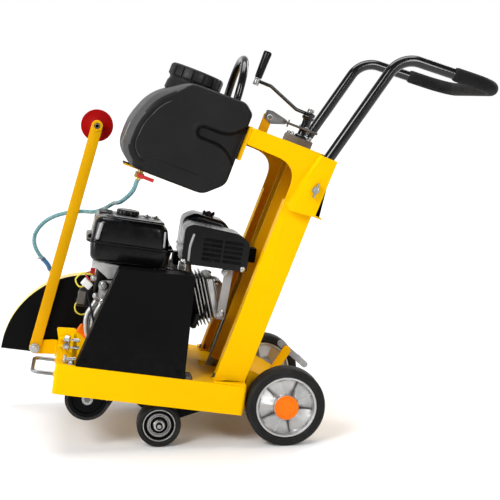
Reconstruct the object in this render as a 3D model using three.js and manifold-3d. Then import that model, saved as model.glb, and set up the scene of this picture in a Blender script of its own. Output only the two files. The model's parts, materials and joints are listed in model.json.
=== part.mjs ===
// Walk-behind concrete saw with a petrol engine, standing nose-up in its transport attitude.
// Millimetres, +Z up, +X towards the operator, +Y towards the blade side.
// Most pieces are drawn in the chassis frame: X along the deck, Z square to it, origin under the rear axle.
import * as THREE from 'three';
import { mergeVertices } from 'three/addons/utils/BufferGeometryUtils.js';
import Module from 'manifold-3d';

const wasm = await Module();
wasm.setup();

const rad = THREE.MathUtils.degToRad;

// ---------------------------------------------------------------- driving dimensions

const NOSE_UP = rad(9); // the deck slopes up towards the front
const COLUMN_LEAN = rad(12.5); // the column leans back from square to the deck
const HANDLE_LEAN = rad(26.5); // the handle tubes lean back from square to the deck
const CYLINDER_TILT = rad(20); // the engine cylinder rises towards the rear
const GAP = 0.3;
const FIT = 0.4; // radial clearance of a turning shaft

const BASE = { front: -537, rear: -109, half: 190, bottom: 56, top: 123, sheet: 4 };
const DECK = BASE.top + GAP;

const REAR_AXLE = { x: -14, z: 89, radius: 10, half: 196 };
const REAR_WHEEL = { radius: 90, rim: 69.5, width: 48, y: 178 };
const WHEEL_FACETS = 26;
const FRONT_AXLE = { x: -290, z: 5, radius: 8, half: 176 };
const FRONT_WHEEL = { radius: 50, width: 46, y: 149 };
const SWING_PIVOT = { x: -130, z: 84 };

const COLUMN = { x: -147, z: 124, front: -35, rear: 36, tongue: -160, height: 555, half: 164, sheet: 4 };
const SCREW_X = -22; // lift screw axis, in the column frame
const CRANK_REACH = 146; // from the screw axis to the grip axis
const WING_BOLT = { x: 14, z: 474 }; // column frame
const LATCH_PIVOT = { x: -114, z: 592 }; // column frame

const HANDLE = { y: 179, tube: 12.5, bend: 62, grip: 16 };
const KNEE = { x: 115, z: 904 };
const HEEL = { x: 352, z: 869 };
const SOCKET_DEPTH = 400; // tube length below the knee corner

const BRAKE_PIVOT = { x: 30, z: 160 };
const BRAKE_SHOE = { x: 82, z: 126 };

const SPINDLE = { x: -458, z: 50, radius: 12.5 }; // blade shaft axis
const PULLEY = { near: -176, far: -144, drive: 35, driven: 43 };
const FLANGE_FACE = 220; // where the blade seats, across the machine
const GUARD = { radius: 217, near: 198, far: 246, sheet: 3 };
const NIPPLE = { dirX: -0.5034, dirZ: 0.8641, length: 243 };
const POINTER = { x: -592, z: 67, tipX: -516, tipZ: 639, near: 180, far: 186 };

const TANK = { bottom: 373.3, half: 140, bevel: 12 }; // column frame
const TANK_CAP = { x: -303, radius: 64, bottom: 601.3 };
const OUTLET = { x: -352, y: -95, bottom: 350 };

const ENGINE = { x: -352, z: 235 }; // crankshaft axis
const CRANK_RADIUS = 12;
const HEAD_END = 172; // cylinder head face, measured from the crankshaft axis
const OIL_NECK = { from: [-446, -75, 160], to: [-474, -75, 175] };
const STARTER_DIRECTION = rad(134); // pull direction, from +X towards +Z
const FUEL_CAP = { x: -418, y: 34, z: 448 };
const THROTTLE_PIVOT = { x: -310, z: 334 };
const CHOKE_PIVOT = { x: -278, z: 318 };

// ---------------------------------------------------------------- materials

const material = (color, roughness, metalness) =>
  new THREE.MeshStandardMaterial({ color, roughness, metalness });

const yellow = material(0xf5bd00, 0.38, 0);
const amber = material(0xe0a400, 0.42, 0);
const blackPaint = material(0x101011, 0.3, 0);
const satinBlack = material(0x17181a, 0.6, 0);
const rubber = material(0x151515, 0.85, 0);
const foam = material(0x1a1a1b, 0.95, 0);
const castAlloy = material(0xa8a8a6, 0.45, 0.9);
const zinc = material(0xc3c4c6, 0.3, 1);
const steel = material(0x8a8c90, 0.35, 1);
const brass = material(0xc29a45, 0.3, 1);
const red = material(0xa30508, 0.35, 0);
const orange = material(0xff6a00, 0.45, 0);
const tankPlastic = material(0x26272a, 0.7, 0);
const hosePlastic = material(0x7fb3b5, 0.3, 0);

// ---------------------------------------------------------------- geometry helpers

function toSolid(geometry) {
  const bare = geometry.clone();
  bare.deleteAttribute('normal');
  bare.deleteAttribute('uv');
  const merged = mergeVertices(bare, 1e-3);
  const vertProperties = new Float32Array(merged.attributes.position.array);
  const triVerts = new Uint32Array(merged.index.array);
  return new wasm.Manifold(new wasm.Mesh({ numProp: 3, vertProperties, triVerts }));
}

function toGeometry(solid) {
  const mesh = solid.getMesh();
  const geometry = new THREE.BufferGeometry();
  geometry.setAttribute('position', new THREE.BufferAttribute(mesh.vertProperties, 3));
  geometry.setIndex(new THREE.BufferAttribute(mesh.triVerts, 1));
  return geometry;
}

function join(first, ...others) {
  return toGeometry(others.reduce((sum, next) => sum.add(toSolid(next)), toSolid(first)));
}

function cut(body, ...tools) {
  return toGeometry(tools.reduce((rest, tool) => rest.subtract(toSolid(tool)), toSolid(body)));
}

// A block between two limits along each axis.
function block([x0, x1], [y0, y1], [z0, z1]) {
  const geometry = new THREE.BoxGeometry(x1 - x0, y1 - y0, z1 - z0);
  return geometry.translate((x0 + x1) / 2, (y0 + y1) / 2, (z0 + z1) / 2);
}

// A round bar between two points.
function rod(radius, start, end, sides = 14) {
  const from = new THREE.Vector3(...start);
  const to = new THREE.Vector3(...end);
  const along = to.clone().sub(from);
  const geometry = new THREE.CylinderGeometry(radius, radius, along.length(), sides);
  const turn = new THREE.Quaternion().setFromUnitVectors(
    new THREE.Vector3(0, 1, 0),
    along.clone().normalize(),
  );
  geometry.applyQuaternion(turn);
  const middle = from.add(to).multiplyScalar(0.5);
  return geometry.translate(middle.x, middle.y, middle.z);
}

// A round bar across the machine, from y0 to y1 at x, z.
const crossRod = (radius, { x, z }, y0, y1, sides = 14) => rod(radius, [x, y0, z], [x, y1, z], sides);

// A closed outline with rounded corners. Each corner is [x, z] or [x, z, radius].
function outline(corners) {
  const shape = new THREE.Shape();
  const count = corners.length;
  corners.forEach(([x, z, radius = 0], index) => {
    const corner = new THREE.Vector2(x, z);
    const before = new THREE.Vector2(...corners[(index + count - 1) % count].slice(0, 2));
    const after = new THREE.Vector2(...corners[(index + 1) % count].slice(0, 2));
    const entry = before.sub(corner).setLength(radius).add(corner);
    const exit = after.sub(corner).setLength(radius).add(corner);
    if (index === 0) {
      shape.moveTo(entry.x, entry.y);
    } else {
      shape.lineTo(entry.x, entry.y);
    }
    if (radius > 0) {
      shape.quadraticCurveTo(corner.x, corner.y, exit.x, exit.y);
    }
  });
  shape.closePath();
  return shape;
}

// The outline of a belt drawn tight around two circles, [x, z] and radius each.
function strap([ax, az], radiusA, [bx, bz], radiusB) {
  const heading = Math.atan2(bz - az, bx - ax);
  const distance = Math.hypot(bx - ax, bz - az);
  const spread = Math.acos((radiusA - radiusB) / distance);
  const shape = new THREE.Shape();
  shape.absarc(ax, az, radiusA, heading + spread, heading + 2 * Math.PI - spread, false);
  shape.absarc(bx, bz, radiusB, heading - spread, heading + spread, false);
  shape.closePath();
  return shape;
}

// An outline in X and Z given thickness from y0 to y1, with an optional bevel on both faces.
function slab(shape, [y0, y1], { bevel = 0, rounds = 4, bevelSegments = 2 } = {}) {
  const geometry = new THREE.ExtrudeGeometry(shape, {
    depth: y1 - y0 - 2 * bevel,
    curveSegments: rounds,
    bevelEnabled: bevel > 0,
    bevelThickness: bevel,
    bevelSize: bevel,
    bevelOffset: -bevel,
    bevelSegments,
  });
  return geometry.rotateX(Math.PI / 2).translate(0, y1 - bevel, 0);
}

// An outline in X and Y given height from z0 to z1.
function plan(shape, [z0, z1], rounds = 5) {
  const geometry = new THREE.ExtrudeGeometry(shape, {
    depth: z1 - z0,
    curveSegments: rounds,
    bevelEnabled: false,
  });
  return geometry.translate(0, 0, z0);
}

// A solid of revolution about Y. The profile is [radius, y], rising along its outside.
function turned(profile, segments = 20) {
  const points = profile.map(([radius, y]) => new THREE.Vector2(radius, y));
  return new THREE.LatheGeometry(points, segments);
}

// The same ring profile, closed on itself.
const turnedRing = (profile, segments = 20) => turned([...profile, profile[0]], segments);

// A solid of revolution about Z. The profile is [radius, z], rising along its outside.
const turnedUp = (profile, segments = 16) => turned(profile, segments).rotateX(Math.PI / 2);

// A path through given rings, one extrusion step per ring.
class RingPath extends THREE.Curve {
  constructor(rings) {
    super();
    this.rings = rings;
  }

  getPoint(t, target = new THREE.Vector3()) {
    const last = this.rings.length - 1;
    const place = THREE.MathUtils.clamp(t, 0, 1) * last;
    const index = Math.min(Math.floor(place), last - 1);
    return target.lerpVectors(this.rings[index], this.rings[index + 1], place - index);
  }

  getPointAt(u, target) {
    return this.getPoint(u, target);
  }

  getTangentAt(u, target) {
    return this.getTangent(u, target);
  }
}

// Straight stretches between corners, with an arc of its own radius at each inner corner.
function bentPath(corners, bends, stepsPerBend = 4) {
  const points = corners.map((corner) => new THREE.Vector3(...corner));
  const rings = [points[0]];
  for (let index = 1; index < points.length - 1; index += 1) {
    const corner = points[index];
    const bend = bends[index - 1];
    const back = points[index - 1].clone().sub(corner).normalize();
    const ahead = points[index + 1].clone().sub(corner).normalize();
    const half = back.angleTo(ahead) / 2;
    const middle = back.clone().add(ahead).normalize();
    const centre = middle.multiplyScalar(bend / Math.sin(half)).add(corner);
    const start = back.multiplyScalar(bend / Math.tan(half)).add(corner).sub(centre);
    const end = ahead.multiplyScalar(bend / Math.tan(half)).add(corner).sub(centre);
    const axis = start.clone().cross(end).normalize();
    const sweep = start.angleTo(end);
    for (let step = 0; step <= stepsPerBend; step += 1) {
      const turnedBy = (sweep * step) / stepsPerBend;
      rings.push(start.clone().applyAxisAngle(axis, turnedBy).add(centre));
    }
  }
  rings.push(points[points.length - 1]);
  return new RingPath(rings);
}

function roundSection(radius, sides) {
  const points = [];
  for (let side = 0; side < sides; side += 1) {
    const angle = (2 * Math.PI * side) / sides;
    points.push(new THREE.Vector2(radius * Math.cos(angle), radius * Math.sin(angle)));
  }
  return new THREE.Shape(points);
}

function tube(path, radius, steps, sides = 10) {
  return new THREE.ExtrudeGeometry(roundSection(radius, sides), {
    steps,
    extrudePath: path,
    bevelEnabled: false,
  });
}

const bentTube = (path, radius, sides) => tube(path, radius, path.rings.length - 1, sides);

// ---------------------------------------------------------------- scene graph

const saw = new THREE.Group();
const chassis = new THREE.Group();
chassis.rotation.y = NOSE_UP;
saw.add(chassis);

const column = new THREE.Group();
column.position.set(COLUMN.x, 0, COLUMN.z);
column.rotation.y = COLUMN_LEAN;
chassis.add(column);
column.updateMatrix();

function add(parent, name, geometry, surface, position = [0, 0, 0]) {
  const mesh = new THREE.Mesh(geometry, surface);
  mesh.name = name;
  mesh.position.set(...position);
  parent.add(mesh);
}

// Geometry drawn in the column frame, moved to the chassis frame.
const fromColumn = (geometry) => geometry.applyMatrix4(column.matrix);

const SIDES = [
  ['near', -1],
  ['far', 1],
];

// A span given outwards from the centre plane, on one side of it.
const span = (side, inner, outer) => (side < 0 ? [-outer, -inner] : [inner, outer]);

// ---------------------------------------------------------------- base frame

// A pressed pan, open below, with a belt slot, a lift slot and the belt tension bracket on its deck.
function baseFrame() {
  const { front, rear, half, bottom, top, sheet } = BASE;
  const rim = 9;
  const outer = outline([
    [front, -half, rim],
    [rear, -half, rim],
    [rear, half, rim],
    [front, half, rim],
  ]);
  const inner = outline([
    [front + sheet, -half + sheet, rim - sheet],
    [rear - sheet, -half + sheet, rim - sheet],
    [rear - sheet, half - sheet, rim - sheet],
    [front + sheet, half - sheet, rim - sheet],
  ]);
  const beltSlot = block([-485, -335], [-182, -138], [top - 20, top + 5]);
  const liftSlot = block([-202, -138], [-20, 20], [top - 20, top + 5]);
  const shaftNotch = crossRod(22, SPINDLE, half - 10, half + 5);
  const pan = cut(
    plan(outer, [bottom, top]),
    plan(inner, [bottom - 5, top - sheet]),
    beltSlot,
    liftSlot,
    shaftNotch,
  );

  const bracket = outline([
    [-524, top - 2],
    [-546, 196, 6],
    [-503, 199, 6],
    [-494, 140],
    [-499, top - 2],
  ]);
  const boltBar = block([-513, -506], [-163, -147], [146, 188]);
  const bolts = [158, 175].map((z) => rod(3.6, [-537, -157, z], [-508, -157, z], 10));
  return join(pan, slab(bracket, [-150, -145]), boltBar, ...bolts);
}

// The folded cradle behind the deck that carries the rear axle and the brake pivot.
function axleCradle() {
  const front = BASE.rear + GAP;
  const shell = outline([
    [front, 60],
    [14, 60],
    [14, 104],
    [-92, 150],
    [-104, 150],
    [-104, 118],
    [front, 118],
  ]);
  const hollow = outline([
    [front + 4, 50],
    [10, 50],
    [10, 101.3],
    [-93, 146],
    [-100, 146],
    [-100, 114],
    [front + 4, 114],
  ]);
  const lug = outline([
    [-6, 106],
    [12, 98],
    [40, 156],
    [34, 168, 4],
    [22, 168, 4],
  ]);
  const body = cut(
    slab(shell, [-140, 140]),
    slab(hollow, [-136, 136]),
    crossRod(REAR_AXLE.radius + FIT, REAR_AXLE, -150, 150),
  );
  const pin = crossRod(4, BRAKE_PIVOT, 100, 114, 12);
  return join(body, slab(lug, [100, 106]), pin);
}

// A pressed lever whose shoe swings onto the far rear tyre.
function brakeLever() {
  const bar = strap([12, 172], 8, [BRAKE_SHOE.x, BRAKE_SHOE.z], 8);
  const drilled = cut(slab(bar, [106.3, 111.3]), crossRod(4 + FIT, BRAKE_PIVOT, 100, 115, 12));
  return join(drilled, crossRod(6, BRAKE_SHOE, 107, 192, 12));
}

function frontHandle() {
  const x = BASE.front - GAP;
  const reach = -592;
  const z = 70;
  const corners = [
    [x, -72, z],
    [reach, -72, z],
    [reach, 72, z],
    [x, 72, z],
  ];
  return bentTube(bentPath(corners, [16, 16], 4), 4.5, 8);
}

add(chassis, 'base_frame', baseFrame(), yellow);
add(chassis, 'axle_cradle', axleCradle(), yellow);
add(chassis, 'brake_lever', brakeLever(), zinc);
add(chassis, 'front_handle', frontHandle(), zinc);

// ---------------------------------------------------------------- rear wheels

function rearTyre() {
  const { radius, rim, width } = REAR_WHEEL;
  const half = width / 2;
  return turnedRing([
    [rim + GAP, -half + 3],
    [radius - 9, -half],
    [radius, -half + 8],
    [radius, half - 8],
    [radius - 9, half],
    [rim + GAP, half - 3],
  ], WHEEL_FACETS);
}

// A cast rim: hub, dished web and ten radial ribs.
function rearRim() {
  const { rim } = REAR_WHEEL;
  const bore = REAR_AXLE.radius + FIT;
  const disc = turnedRing([
    [bore, -20],
    [28, -20],
    [28, -6],
    [59, -6],
    [63, -20],
    [rim, -20],
    [rim, 20],
    [63, 20],
    [59, 6],
    [28, 6],
    [28, 20],
    [bore, 20],
  ], WHEEL_FACETS);
  const ribs = [];
  for (let index = 0; index < 10; index += 1) {
    const rib = block([26, 62], [-15, 15], [-2.5, 2.5]);
    ribs.push(rib.rotateY((index * Math.PI) / 5));
  }
  return join(disc, ...ribs);
}

add(chassis, 'rear_axle', crossRod(REAR_AXLE.radius, REAR_AXLE, -REAR_AXLE.half, REAR_AXLE.half), steel);
SIDES.forEach(([name, side]) => {
  const place = [REAR_AXLE.x, side * REAR_WHEEL.y, REAR_AXLE.z];
  add(chassis, `rear_tyre_${name}`, rearTyre(), rubber, place);
  add(chassis, `rear_rim_${name}`, rearRim(), castAlloy, place);
});

// ---------------------------------------------------------------- front wheels on the swing frame

function frontWheel() {
  const { radius, width } = FRONT_WHEEL;
  const half = width / 2;
  const bore = FRONT_AXLE.radius + FIT;
  return turnedRing([
    [bore, -half],
    [14, -half],
    [16, -half + 7],
    [34, -half + 7],
    [36, -half],
    [radius, -half + 4],
    [radius, half - 4],
    [36, half],
    [34, half - 7],
    [16, half - 7],
    [14, half],
    [bore, half],
  ], 22);
}

// Two arms and their cross tubes, hinged inside the base pan, with a horn under the push rod.
function swingFrame() {
  const pivot = [SWING_PIVOT.x, SWING_PIVOT.z];
  const axle = [FRONT_AXLE.x, FRONT_AXLE.z];
  const arms = SIDES.map(([, side]) => slab(strap(pivot, 15, axle, 13), span(side, 112, 118)));
  const trunnion = BASE.half - BASE.sheet - GAP;
  return join(
    crossRod(11, SWING_PIVOT, -118, 118),
    crossRod(8, SWING_PIVOT, -trunnion, trunnion, 16),
    crossRod(FRONT_AXLE.radius, FRONT_AXLE, -FRONT_AXLE.half, FRONT_AXLE.half, 16),
    crossRod(9, { x: -214, z: 42 }, -114, 114, 12),
    slab(strap(pivot, 11, [-176, 88], 8), [-15, 15]),
    ...arms,
  );
}

add(chassis, 'swing_frame', swingFrame(), satinBlack);
SIDES.forEach(([name, side]) => {
  const place = [FRONT_AXLE.x, side * FRONT_WHEEL.y, FRONT_AXLE.z];
  add(chassis, `front_wheel_${name}`, frontWheel(), rubber, place);
});

// ---------------------------------------------------------------- column

// A side plate with its arch, front flange, welded handle socket and bolted foot.
function columnPlate(side) {
  const { front, rear, tongue, height, half, sheet } = COLUMN;
  const inner = half - sheet;
  const face = outline([
    [front, -40],
    [33, -40],
    [rear, height],
    [tongue, height - 3, 4],
    [tongue, height - 42, 4],
    [front, height - 44, 52],
  ]);
  const plate = slab(face, span(side, inner, half), { rounds: 8 });
  const flange = block([front, front + sheet], span(side, inner - 25, inner + 1), [-40, 430]);
  const socketOuter = outline([
    [1, height - 5],
    [rear + 2, height - 5],
    [rear, 418],
    [-24, 412],
    [-30, 424],
  ]);
  const socketInner = outline([
    [6, height + 6],
    [rear - 1, height + 6],
    [rear - 3, 421.5],
    [-22.5, 415.5],
    [-26.4, 424.5],
  ]);
  const socket = cut(
    slab(socketOuter, span(side, half - 1, half + 31.6)),
    slab(socketInner, span(side, half - 2, half + 28.6)),
    crossRod(4 + FIT, WING_BOLT, side * (half + 20), side * (half + 40), 12),
  );
  const tab = block([16, 54], span(side, half - 1, half + 22), [417, 421]);
  const welded = fromColumn(join(plate, flange, socket, tab));
  const belowDeck = block([-260, 0], [-260, 260], [0, DECK]);
  const foot = block([-186, -112], span(side, inner - 25, half + 25), [DECK, DECK + 4]);
  return join(cut(welded, belowDeck), foot);
}

// The tank bracket between the two tongues, with the strap that runs under the tank.
function columnFrontPlate() {
  const { tongue, half, height } = COLUMN;
  const back = tongue - GAP;
  const plate = block([back - 4, back], [-half, half], [height - 81, height - 2]);
  const strapShape = outline([
    [back - 1, 500],
    [back - 5, 500],
    [back - 5, 428],
    [-216, 373],
    [-390, 373],
    [-390, 369],
    [-214, 369],
    [back - 1, 426],
  ]);
  return join(plate, slab(strapShape, [-45, 45]));
}

// The top plate and the back plate that tie the two side plates, with the latch post.
function columnCrossPlate() {
  const width = COLUMN.half - COLUMN.sheet - GAP;
  const top = block([COLUMN.tongue + 2, 29], [-width, width], [546, 550]);
  const back = block([25, 29], [-width, width], [30, 548]);
  const post = block([-128, -106], [-30, -24], [548, 596]);
  const screwHole = rod(9, [SCREW_X, 0, 540], [SCREW_X, 0, 560]);
  return cut(join(top, back, post), screwHole);
}

// An open channel that guides the push rod.
function screwGuide() {
  const outer = block([-36, 8], [-30, 30], [14, 545.7]);
  return cut(outer, block([-60, 5], [-27, 27], [10, 550]));
}

function bearingBlock() {
  const body = block([-57, 5], [-28, 28], [550.3, 574]);
  return cut(body, rod(7 + FIT, [SCREW_X, 0, 540], [SCREW_X, 0, 580]));
}

// The threaded spindle with its spool-shaped head.
function liftScrew() {
  return turnedUp([
    [0, 34],
    [7, 34],
    [7, 574.3],
    [16, 574.3],
    [16, 580],
    [11, 584],
    [11, 620],
    [15, 623],
    [15, 628],
    [0, 628],
  ]);
}

function pushRod() {
  return turnedUp([
    [7 + FIT, -25],
    [14, -25],
    [14, 120],
    [7 + FIT, 120],
    [7 + FIT, -25],
  ]);
}

function crankArm() {
  const gripX = -CRANK_REACH;
  const corners = [
    [0, 0, 633],
    [-34, 0, 633],
    [-110, 0, 661],
    [gripX, 0, 661],
  ];
  const collar = turnedUp([
    [0, 628.3],
    [14, 628.3],
    [14, 637],
    [0, 637],
  ]);
  const arm = bentTube(bentPath(corners, [12, 12], 3), 4.2, 8);
  const pin = rod(4, [gripX, 0, 653], [gripX, 0, 727], 12);
  const boss = rod(7, [gripX, 0, 655], [gripX, 0, 667], 12);
  return join(collar, arm, pin, boss);
}

function crankGrip() {
  return turnedUp([
    [0, 728],
    [4.5, 728],
    [4.5, 667.4],
    [9, 667.4],
    [12, 674],
    [10.5, 726],
    [7, 732],
    [0, 733],
  ]);
}

// The depth lock: a latch plate on the post, with the rod that blocks the spindle head.
function lockLatch() {
  const plate = outline([
    [-126, 586, 4],
    [-106, 578, 3],
    [-72, 590, 3],
    [-72, 600, 3],
    [-112, 608, 3],
    [-126, 606, 3],
  ]);
  const bar = rod(3, [-80, -32.3, 595], [6, -32.3, 596], 10);
  const tick = rod(2, [-68, -32.3, 586], [-68, -32.3, 604], 8);
  const boltHead = crossRod(5, LATCH_PIVOT, -38, -33, 12);
  return join(slab(plate, [-34, -30.3]), bar, tick, boltHead);
}

function wingBolt(side) {
  const inner = COLUMN.half + 28.2;
  const shank = rod(4, [0, side * inner, 0], [0, side * (inner + 12), 0], 12);
  const collar = rod(8, [0, side * (inner + 4), 0], [0, side * (inner + 11), 0], 12);
  const wings = block([-2, 2], span(side, inner + 8, inner + 19), [-17, 17]);
  return join(shank, collar, wings);
}

SIDES.forEach(([name, side]) => {
  add(chassis, `column_${name}_plate`, columnPlate(side), yellow);
  add(column, `wing_bolt_${name}`, wingBolt(side), zinc, [WING_BOLT.x, 0, WING_BOLT.z]);
});
add(column, 'column_front_plate', columnFrontPlate(), amber);
add(column, 'column_cross_plate', columnCrossPlate(), amber);
add(column, 'screw_guide', screwGuide(), amber);
add(column, 'bearing_block', bearingBlock(), steel);
add(column, 'lift_screw', liftScrew(), blackPaint, [SCREW_X, 0, 0]);
add(column, 'push_rod', pushRod(), steel, [SCREW_X, 0, 0]);
add(column, 'crank_arm', crankArm(), blackPaint, [SCREW_X, 0, 0]);
add(column, 'crank_grip', crankGrip(), blackPaint, [SCREW_X - CRANK_REACH, 0, 0]);
add(column, 'lock_latch', lockLatch(), steel);

// ---------------------------------------------------------------- handlebar

// One tube: up out of the near socket, back to the cross-bar and down into the far socket.
function handlePath() {
  const bottomX = KNEE.x - SOCKET_DEPTH * Math.sin(HANDLE_LEAN);
  const bottomZ = KNEE.z - SOCKET_DEPTH * Math.cos(HANDLE_LEAN);
  const { y, bend } = HANDLE;
  const corners = [
    [bottomX, -y, bottomZ],
    [KNEE.x, -y, KNEE.z],
    [HEEL.x, -y, HEEL.z],
    [HEEL.x, y, HEEL.z],
    [KNEE.x, y, KNEE.z],
    [bottomX, y, bottomZ],
  ];
  return bentPath(corners, [bend, bend, bend, bend], 5);
}

// The foam sleeve over the rear ends and the cross-bar, starting part way along each side tube.
function gripPath(startShare) {
  const { y, bend } = HANDLE;
  const startX = THREE.MathUtils.lerp(KNEE.x, HEEL.x, startShare);
  const startZ = THREE.MathUtils.lerp(KNEE.z, HEEL.z, startShare);
  const corners = [
    [startX, -y, startZ],
    [HEEL.x, -y, HEEL.z],
    [HEEL.x, y, HEEL.z],
    [startX, y, startZ],
  ];
  return bentPath(corners, [bend, bend], 5);
}

function handleGrip() {
  const sleeve = bentTube(gripPath(0.56), HANDLE.grip, 10);
  return cut(sleeve, bentTube(gripPath(0.5), HANDLE.tube + 1.2, 10));
}

add(chassis, 'handlebar', bentTube(handlePath(), HANDLE.tube, 10), blackPaint);
add(chassis, 'handle_grip', handleGrip(), foam);

// ---------------------------------------------------------------- water tank and lifting bail

// A moulded tank with a filler neck, a rear recess for the bail and a strap groove on each side.
function waterTank() {
  const { bottom, half, bevel } = TANK;
  const face = outline([
    [-378, bottom],
    [-413, 402],
    [-415, 470],
    [-388, 545],
    [-320, 596],
    [-188, 599],
    [-167, 580],
    [-166, 412],
    [-208, bottom],
  ]);
  const body = slab(face, [-half, half], { bevel, rounds: 2, bevelSegments: 3 });
  const neck = rod(58, [TANK_CAP.x, 0, 500], [TANK_CAP.x, 0, TANK_CAP.bottom - GAP], 24);
  const bailRecess = block([-232, -150], [-116, 116], [bottom - 10, 620]);
  const groove = strap([-256, 504], 14, [-160, 512], 26);
  const grooves = SIDES.map(([, side]) => slab(groove, span(side, half - 16, half + 5)));
  return cut(join(body, neck), bailRecess, ...grooves);
}

function tankCap() {
  const { radius, bottom } = TANK_CAP;
  return turnedUp([
    [0, bottom],
    [radius, bottom],
    [radius, bottom + 22],
    [radius - 5, bottom + 28],
    [0, bottom + 28],
  ], 24);
}

// A bent round bar standing in the tank recess, its ends welded to the bracket plate.
function liftingBail() {
  const plateX = COLUMN.tongue - GAP - 4 - GAP;
  const width = 95;
  const corners = [
    [plateX, -width, 520],
    [-201, -width, 520],
    [-216, -width, 694],
    [-216, width, 694],
    [-201, width, 520],
    [plateX, width, 520],
  ];
  return bentTube(bentPath(corners, [20, 88, 88, 20]), 9, 8);
}

// A brass outlet with a quarter-turn valve body.
function tankOutlet() {
  const { x, y, bottom } = OUTLET;
  const pipe = rod(6.5, [x, y, bottom], [x, y, TANK.bottom - GAP], 14);
  const body = block([x - 10, x + 10], [y - 9, y + 9], [bottom + 5, bottom + 17]);
  return join(pipe, body);
}

function valveLever() {
  const { y, bottom } = OUTLET;
  const middle = bottom + 11;
  const handle = block([-4, 34], [y - 14, y - 11], [middle - 4, middle + 4]);
  return join(handle, rod(4, [0, y - 13, middle], [0, y - 9.3, middle], 10));
}

add(column, 'water_tank', waterTank(), tankPlastic);
add(column, 'tank_cap', tankCap(), satinBlack, [TANK_CAP.x, 0, 0]);
add(column, 'lifting_bail', liftingBail(), blackPaint);
add(column, 'tank_outlet', tankOutlet(), brass);
add(column, 'valve_lever', valveLever(), red, [OUTLET.x, 0, 0]);

// ---------------------------------------------------------------- blade shaft, guard and drive

// A point on the nipple's line, at a distance from the blade shaft axis.
function nipplePoint(distance) {
  const middle = (GUARD.near + GUARD.far) / 2;
  return [SPINDLE.x + NIPPLE.dirX * distance, middle, SPINDLE.z + NIPPLE.dirZ * distance];
}

// A half-round sheet guard, open below, with two pads on the base and a hose nipple on its rim.
function bladeGuard() {
  const { radius, near, far, sheet } = GUARD;
  const halfDisc = (size, sill) => {
    const shape = new THREE.Shape();
    shape.absarc(SPINDLE.x, SPINDLE.z, size, 0, Math.PI, false);
    shape.lineTo(SPINDLE.x - size, SPINDLE.z - sill);
    shape.lineTo(SPINDLE.x + size, SPINDLE.z - sill);
    shape.closePath();
    return shape;
  };
  const shell = cut(
    slab(halfDisc(radius, 2), [near, far], { rounds: 22 }),
    slab(halfDisc(radius - sheet, 20), [near + sheet, far - sheet], { rounds: 22 }),
    crossRod(24, SPINDLE, near - 2, near + 5),
  );
  const pad = block([-424, -336], [BASE.half + GAP, near + 1], [64, 112]);
  const nipple = rod(5, nipplePoint(radius - 2), nipplePoint(NIPPLE.length), 10);
  const nippleBase = rod(9, nipplePoint(radius - 2), nipplePoint(radius + 8), 6);
  return join(shell, pad, nipple, nippleBase);
}

// A bored tube carrying both spindle bearings, hung from the deck by two blocks.
function spindleHousing() {
  const deckUnder = BASE.top - BASE.sheet - GAP;
  const hangers = [-128, 150].map((y) => block([-490, -426], [y, y + 20], [46, deckUnder]));
  const body = join(crossRod(24, SPINDLE, -132, 184, 16), ...hangers);
  return cut(body, crossRod(SPINDLE.radius + FIT, SPINDLE, -140, 190, 16));
}

function grooved(bore, radius) {
  const { near, far } = PULLEY;
  return turnedRing([
    [bore, near],
    [radius, near],
    [radius, near + 3],
    [radius - 5, near + 8],
    [radius - 5, far - 8],
    [radius, far - 3],
    [radius, far],
    [bore, far],
  ], 22);
}

// A banded belt around both pulleys.
function driveBelt() {
  const engine = [ENGINE.x, ENGINE.z];
  const spindle = [SPINDLE.x, SPINDLE.z];
  const outer = strap(engine, PULLEY.drive + 7, spindle, PULLEY.driven + 7);
  const inner = strap(engine, PULLEY.drive + GAP, spindle, PULLEY.driven + GAP);
  const width = [PULLEY.near + 3, PULLEY.far - 3];
  const hollow = [PULLEY.near, PULLEY.far];
  return cut(slab(outer, width, { rounds: 12 }), slab(inner, hollow, { rounds: 12 }));
}

function innerFlange() {
  const bore = SPINDLE.radius + FIT;
  return turnedRing([
    [bore, 206],
    [20, 206],
    [20, 213],
    [50, 213],
    [50, FLANGE_FACE],
    [bore, FLANGE_FACE],
  ]);
}

function outerFlange() {
  const bore = SPINDLE.radius + FIT;
  const disc = turnedRing([
    [bore, FLANGE_FACE + 3.3],
    [50, FLANGE_FACE + 3.3],
    [50, FLANGE_FACE + 8],
    [18, FLANGE_FACE + 10],
    [bore, FLANGE_FACE + 10],
  ]);
  const nut = cut(crossRod(17, { x: 0, z: 0 }, 229, 239, 6), crossRod(bore, { x: 0, z: 0 }, 220, 245));
  return join(disc, nut);
}

// A folded sheet cover over the pulleys, open towards the engine and the belt slot.
function beltGuard() {
  const face = outline([
    [-495, DECK],
    [-252, DECK],
    [-262, 357, 5],
    [-430, 350, 5],
  ]);
  const hollow = outline([
    [-491, DECK - 5],
    [-255.5, DECK - 5],
    [-265.2, 353.5],
    [-428, 347],
  ]);
  return cut(slab(face, [-189, -137]), slab(hollow, [-186, -130]));
}

const alongSpindle = (geometry) => geometry.translate(SPINDLE.x, 0, SPINDLE.z);
const alongCrank = (geometry) => geometry.translate(ENGINE.x, 0, ENGINE.z);

add(chassis, 'blade_guard', bladeGuard(), blackPaint);
add(chassis, 'spindle_housing', spindleHousing(), castAlloy);
add(chassis, 'blade_shaft', crossRod(SPINDLE.radius, SPINDLE, -182, 240, 16), steel);
add(chassis, 'driven_pulley', alongSpindle(grooved(SPINDLE.radius + FIT, PULLEY.driven)), satinBlack);
add(chassis, 'drive_belt', driveBelt(), rubber);
add(chassis, 'inner_flange', alongSpindle(innerFlange()), steel);
add(chassis, 'outer_flange', alongSpindle(outerFlange()), steel);
add(chassis, 'belt_guard', beltGuard(), satinBlack);

// ---------------------------------------------------------------- line pointer

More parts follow.
